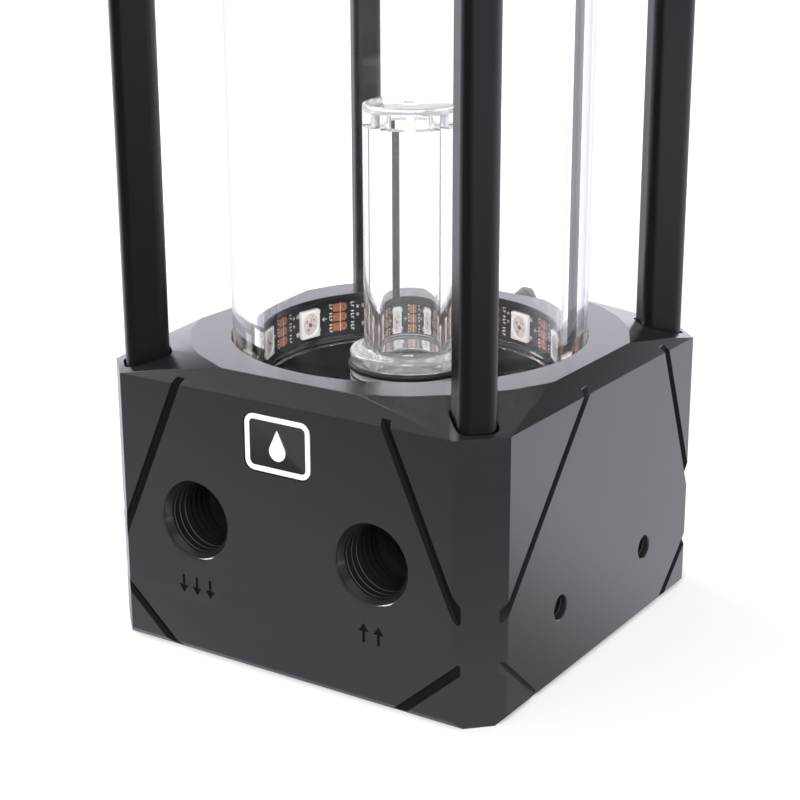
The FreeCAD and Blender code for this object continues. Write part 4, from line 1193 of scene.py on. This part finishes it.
def darkThread(kind, steps):
    # painted highlight and shade: crests near the mouth get a lighter colour as painted highlight, and the
    # flanks and deeper crests a near-black one as painted shade
    inner = thread[kind + "Inner"]
    ridge = makeThread(thread[kind + "Outer"], inner, thread[kind + "Pitch"], thread[kind + "Length"], steps)
    dress(ridge, engravedAndShadeMaterial, crestHighlightMaterial)
    crestLine = (inner + thread["crest"]) * mm
    for face in ridge.data.polygons:
        crest = all(ridge.data.vertices[v].co.xy.length < crestLine for v in face.vertices)
        face.material_index = int(crest and face.center.z < thread["highlightDepth"] * mm)
    return ridge


for name, side in (("outletThread", -1), ("inletThread", 1)):
    ridge = darkThread("port", 72)
    leadInLine = [
        (thread["portOuter"], thread["leadInFrom"]),
        (thread["leadIn"], thread["leadInTo"]),
        (thread["portOuter"], thread["leadInTo"]),
        (thread["portOuter"], thread["leadInFrom"]),
    ]
    leadIn = turnedPiece(leadInLine, 96)
    dress(leadIn, blockMaterial)
    ridge = joinPieces([ridge, leadIn])
    across, outward, up = thread["portPlace"]
    ridge.rotation_euler = (math.radians(-90), 0, 0)
    ridge.location = Vector((side * across, outward, up)) * mm
    finishPiece(ridge, name, "housing", None, 40)
for name, side in (("nearHoleThread", -1), ("farHoleThread", 1)):
    ridge = darkThread("hole", 36)
    outward, across, up = thread["holePlace"]
    ridge.rotation_euler = (0, math.radians(-90), 0)
    ridge.location = Vector((outward, side * across, up)) * mm
    finishPiece(ridge, name, "housing", None, 40)
print("stage: threads")


# fill plug with its thread cut in
plug = {"core": 5.8, "over": 6.65, "low": 197.3, "length": 6.9, "edge": 0.08}
plugShell = softenedCopy("fill_plug", plug["edge"])
plugThread = makeThread(plug["over"], plug["core"], thread["portPitch"], plug["length"], 72)
dress(plugThread, rodMaterial)
plugThread.location = Vector((0, 0, plug["low"])) * mm
settle(plugThread)
cutFrom(plugShell, plugThread)
finishPiece(plugShell, "plugShell", "plug_body", None, 35)
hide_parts("fill_plug")
print("stage: plug")


# floor, world and soft lights
stage = {
    "floorHalf": 3.0,
    "floorDrop": 0.05,
    "floorColor": (0.6, 0.6, 0.61, 1),
    "worldLight": 0.6,
    "mirrorTint": (1.0, 0.97, 1.08, 1),
    "glassGain": 0.3,
    "glassWorld": 1.3,
    "backward": (-0.45, 0.89),
    "rightward": (1, 0.5),
    # what is seen or mirrored along a direction: from, to, tone at each end
    "glow": (0.12, 0.7, 0.3, 0.7),
    "farFront": (-0.35, -0.15, 0.05, 0.13),
    "nearFront": (-0.13, -0.045, 0, 0.17),
    "beside": (-0.038, 0.016, 0, 0.65),
    "farRight": (0.12, 0.36, 0, 0.88),
    "underGlass": (-0.05, 0.05, 0.12, 1.3),
    "behind": (-0.1, 0.45, 0.13, 1.66),
    "slope": (0.27, 0.41, 0, 1),
    "above": (0.55, 0.8, 0.05, 0.24),
    # place, what it points at, size, energy, whether it is mirrored
    "lights": {
        "topSoftbox": ((-0.47, 0.12, 0.77), (0, 0, 0.03), (0.35, 0.35), 2.2, True),
        "sideSoftbox": ((-0.8, -0.06, 0.46), (0, 0, 0.03), (0.3, 0.46), 4.5, True),
        "frontSoftbox": ((0.5, -0.75, 0.65), (0, 0, 0.05), (0.6, 0.5), 15, False),
    },
}


def rayKinds(nodes, links):
    # seen by the camera or through clear parts, mirrored by those, or mirrored by dark ones
    path = nodes.new("ShaderNodeLightPath").outputs
    through = path["Is Transmission Ray"]
    seen = mathNode(nodes, links, "MAXIMUM", path["Is Camera Ray"], through)
    once = mathNode(nodes, links, "GREATER_THAN", path["Glossy Depth"], 0.5)
    inGlass = mathNode(nodes, links, "MULTIPLY", through, once)
    onDark = mathNode(nodes, links, "SUBTRACT", path["Is Glossy Ray"], seen)
    return path, seen, inGlass, mathNode(nodes, links, "MAXIMUM", onDark, 0)


def towards(nodes, links, split, x, y):
    # how far a point lies in that direction
    across = mathNode(nodes, links, "MULTIPLY", split.outputs["X"], x)
    return mathNode(nodes, links, "ADD", across, mathNode(nodes, links, "MULTIPLY", split.outputs["Y"], y))


deselectAll()
floorPlace = (0, 0, -stage["floorDrop"] * mm)
bpy.ops.mesh.primitive_plane_add(size=2 * stage["floorHalf"], location=floorPlace)
floor = bpy.context.object
floor.name = "floor"
floorMaterial, nodes, links = newMaterial("paleFloor")
nodes.remove(nodes["Principled BSDF"])
diffuse = nodes.new("ShaderNodeBsdfDiffuse")
diffuse.inputs["Color"].default_value = stage["floorColor"]
path, seen, inGlass, onDark = rayKinds(nodes, links)
glow = nodes.new("ShaderNodeEmission")
both = nodes.new("ShaderNodeAddShader")
links.new(diffuse.outputs[0], both.inputs[0])
links.new(glow.outputs[0], both.inputs[1])
split = splitNode(nodes, links, "Object")
distance = nodes.new("ShaderNodeVectorMath")
distance.operation = "LENGTH"
links.new(nodes.new("ShaderNodeTexCoord").outputs["Object"], distance.inputs[0])
# painted shade round the block: the floor glows less close to the block and more away from it
paler = rangeNode(nodes, links, distance.outputs["Value"], *stage["glow"])
gain = mathNode(nodes, links, "MULTIPLY", path["Is Transmission Ray"], stage["glassGain"])
glowing = mathNode(nodes, links, "MULTIPLY", seen, mathNode(nodes, links, "ADD", paler, gain))
links.new(glowing, glow.inputs["Strength"])
mirrored = nodes.new("ShaderNodeEmission")  # what the dark faces mirror, dimmer in front
mirrored.inputs["Color"].default_value = stage["mirrorTint"]
reach = towards(nodes, links, split, *stage["backward"])
farFront = rangeNode(nodes, links, reach, *stage["farFront"])
nearFront = rangeNode(nodes, links, reach, *stage["nearFront"])
beside = rangeNode(nodes, links, reach, *stage["beside"])
farRight = rangeNode(nodes, links, towards(nodes, links, split, *stage["rightward"]), *stage["farRight"])
inFront = mathNode(nodes, links, "ADD", farFront, nearFront)
onDarkTone = mathNode(nodes, links, "ADD", inFront, mathNode(nodes, links, "MAXIMUM", beside, farRight))
inGlassTone = rangeNode(nodes, links, reach, *stage["underGlass"])
links.new(mixNode(nodes, links, inGlass, onDarkTone, inGlassTone), mirrored.inputs["Strength"])
choose = nodes.new("ShaderNodeMixShader")
links.new(mathNode(nodes, links, "MAXIMUM", onDark, inGlass), choose.inputs["Fac"])
links.new(both.outputs[0], choose.inputs[1])
links.new(mirrored.outputs[0], choose.inputs[2])
links.new(choose.outputs[0], nodes["Material Output"].inputs["Surface"])
floor.data.materials.append(floorMaterial)

world = bpy.data.worlds.new("studio")
bpy.context.scene.world = world
world.use_nodes = True
nodes, links = world.node_tree.nodes, world.node_tree.links
background = nodes["Background"]
path, seen, inGlass, onDark = rayKinds(nodes, links)
split = splitNode(nodes, links, "Generated")
behind = rangeNode(nodes, links, split.outputs["Y"], *stage["behind"])
slope = rangeNode(nodes, links, split.outputs["Z"], *stage["slope"])
above = rangeNode(nodes, links, split.outputs["Z"], *stage["above"])
onDarkTone = mixNode(nodes, links, slope, behind, above)
glossyPart = mathNode(nodes, links, "MULTIPLY", path["Is Glossy Ray"], onDarkTone)
notGlossy = mathNode(nodes, links, "SUBTRACT", 1, path["Is Glossy Ray"])
plainPart = mathNode(nodes, links, "MULTIPLY", notGlossy, stage["worldLight"])
unseen = mathNode(nodes, links, "ADD", glossyPart, plainPart)
seenTone = mixNode(nodes, links, inGlass, 1, stage["glassWorld"])
links.new(mixNode(nodes, links, seen, unseen, seenTone), background.inputs["Strength"])
tint = mixNode(nodes, links, onDark, (1, 1, 1, 1), stage["mirrorTint"], "RGBA")
links.new(tint, background.inputs["Color"])


def addSoftLight(name, place, target, size, energy, mirrored):
    lightData = bpy.data.lights.new(name, "AREA")
    lightData.energy = energy
    lightData.shape = "RECTANGLE"
    lightData.size, lightData.size_y = size
    light = bpy.data.objects.new(name, lightData)
    bpy.context.scene.collection.objects.link(light)
    light.location = place
    aim = Vector(target) - Vector(place)
    light.rotation_mode = "QUATERNION"
    light.rotation_quaternion = aim.to_track_quat("-Z", "Y")
    light.visible_glossy = mirrored


for name, light in stage["lights"].items():
    addSoftLight(name, *light)

scene = bpy.context.scene
scene.view_settings.view_transform = "Standard"
print("stage: studio")
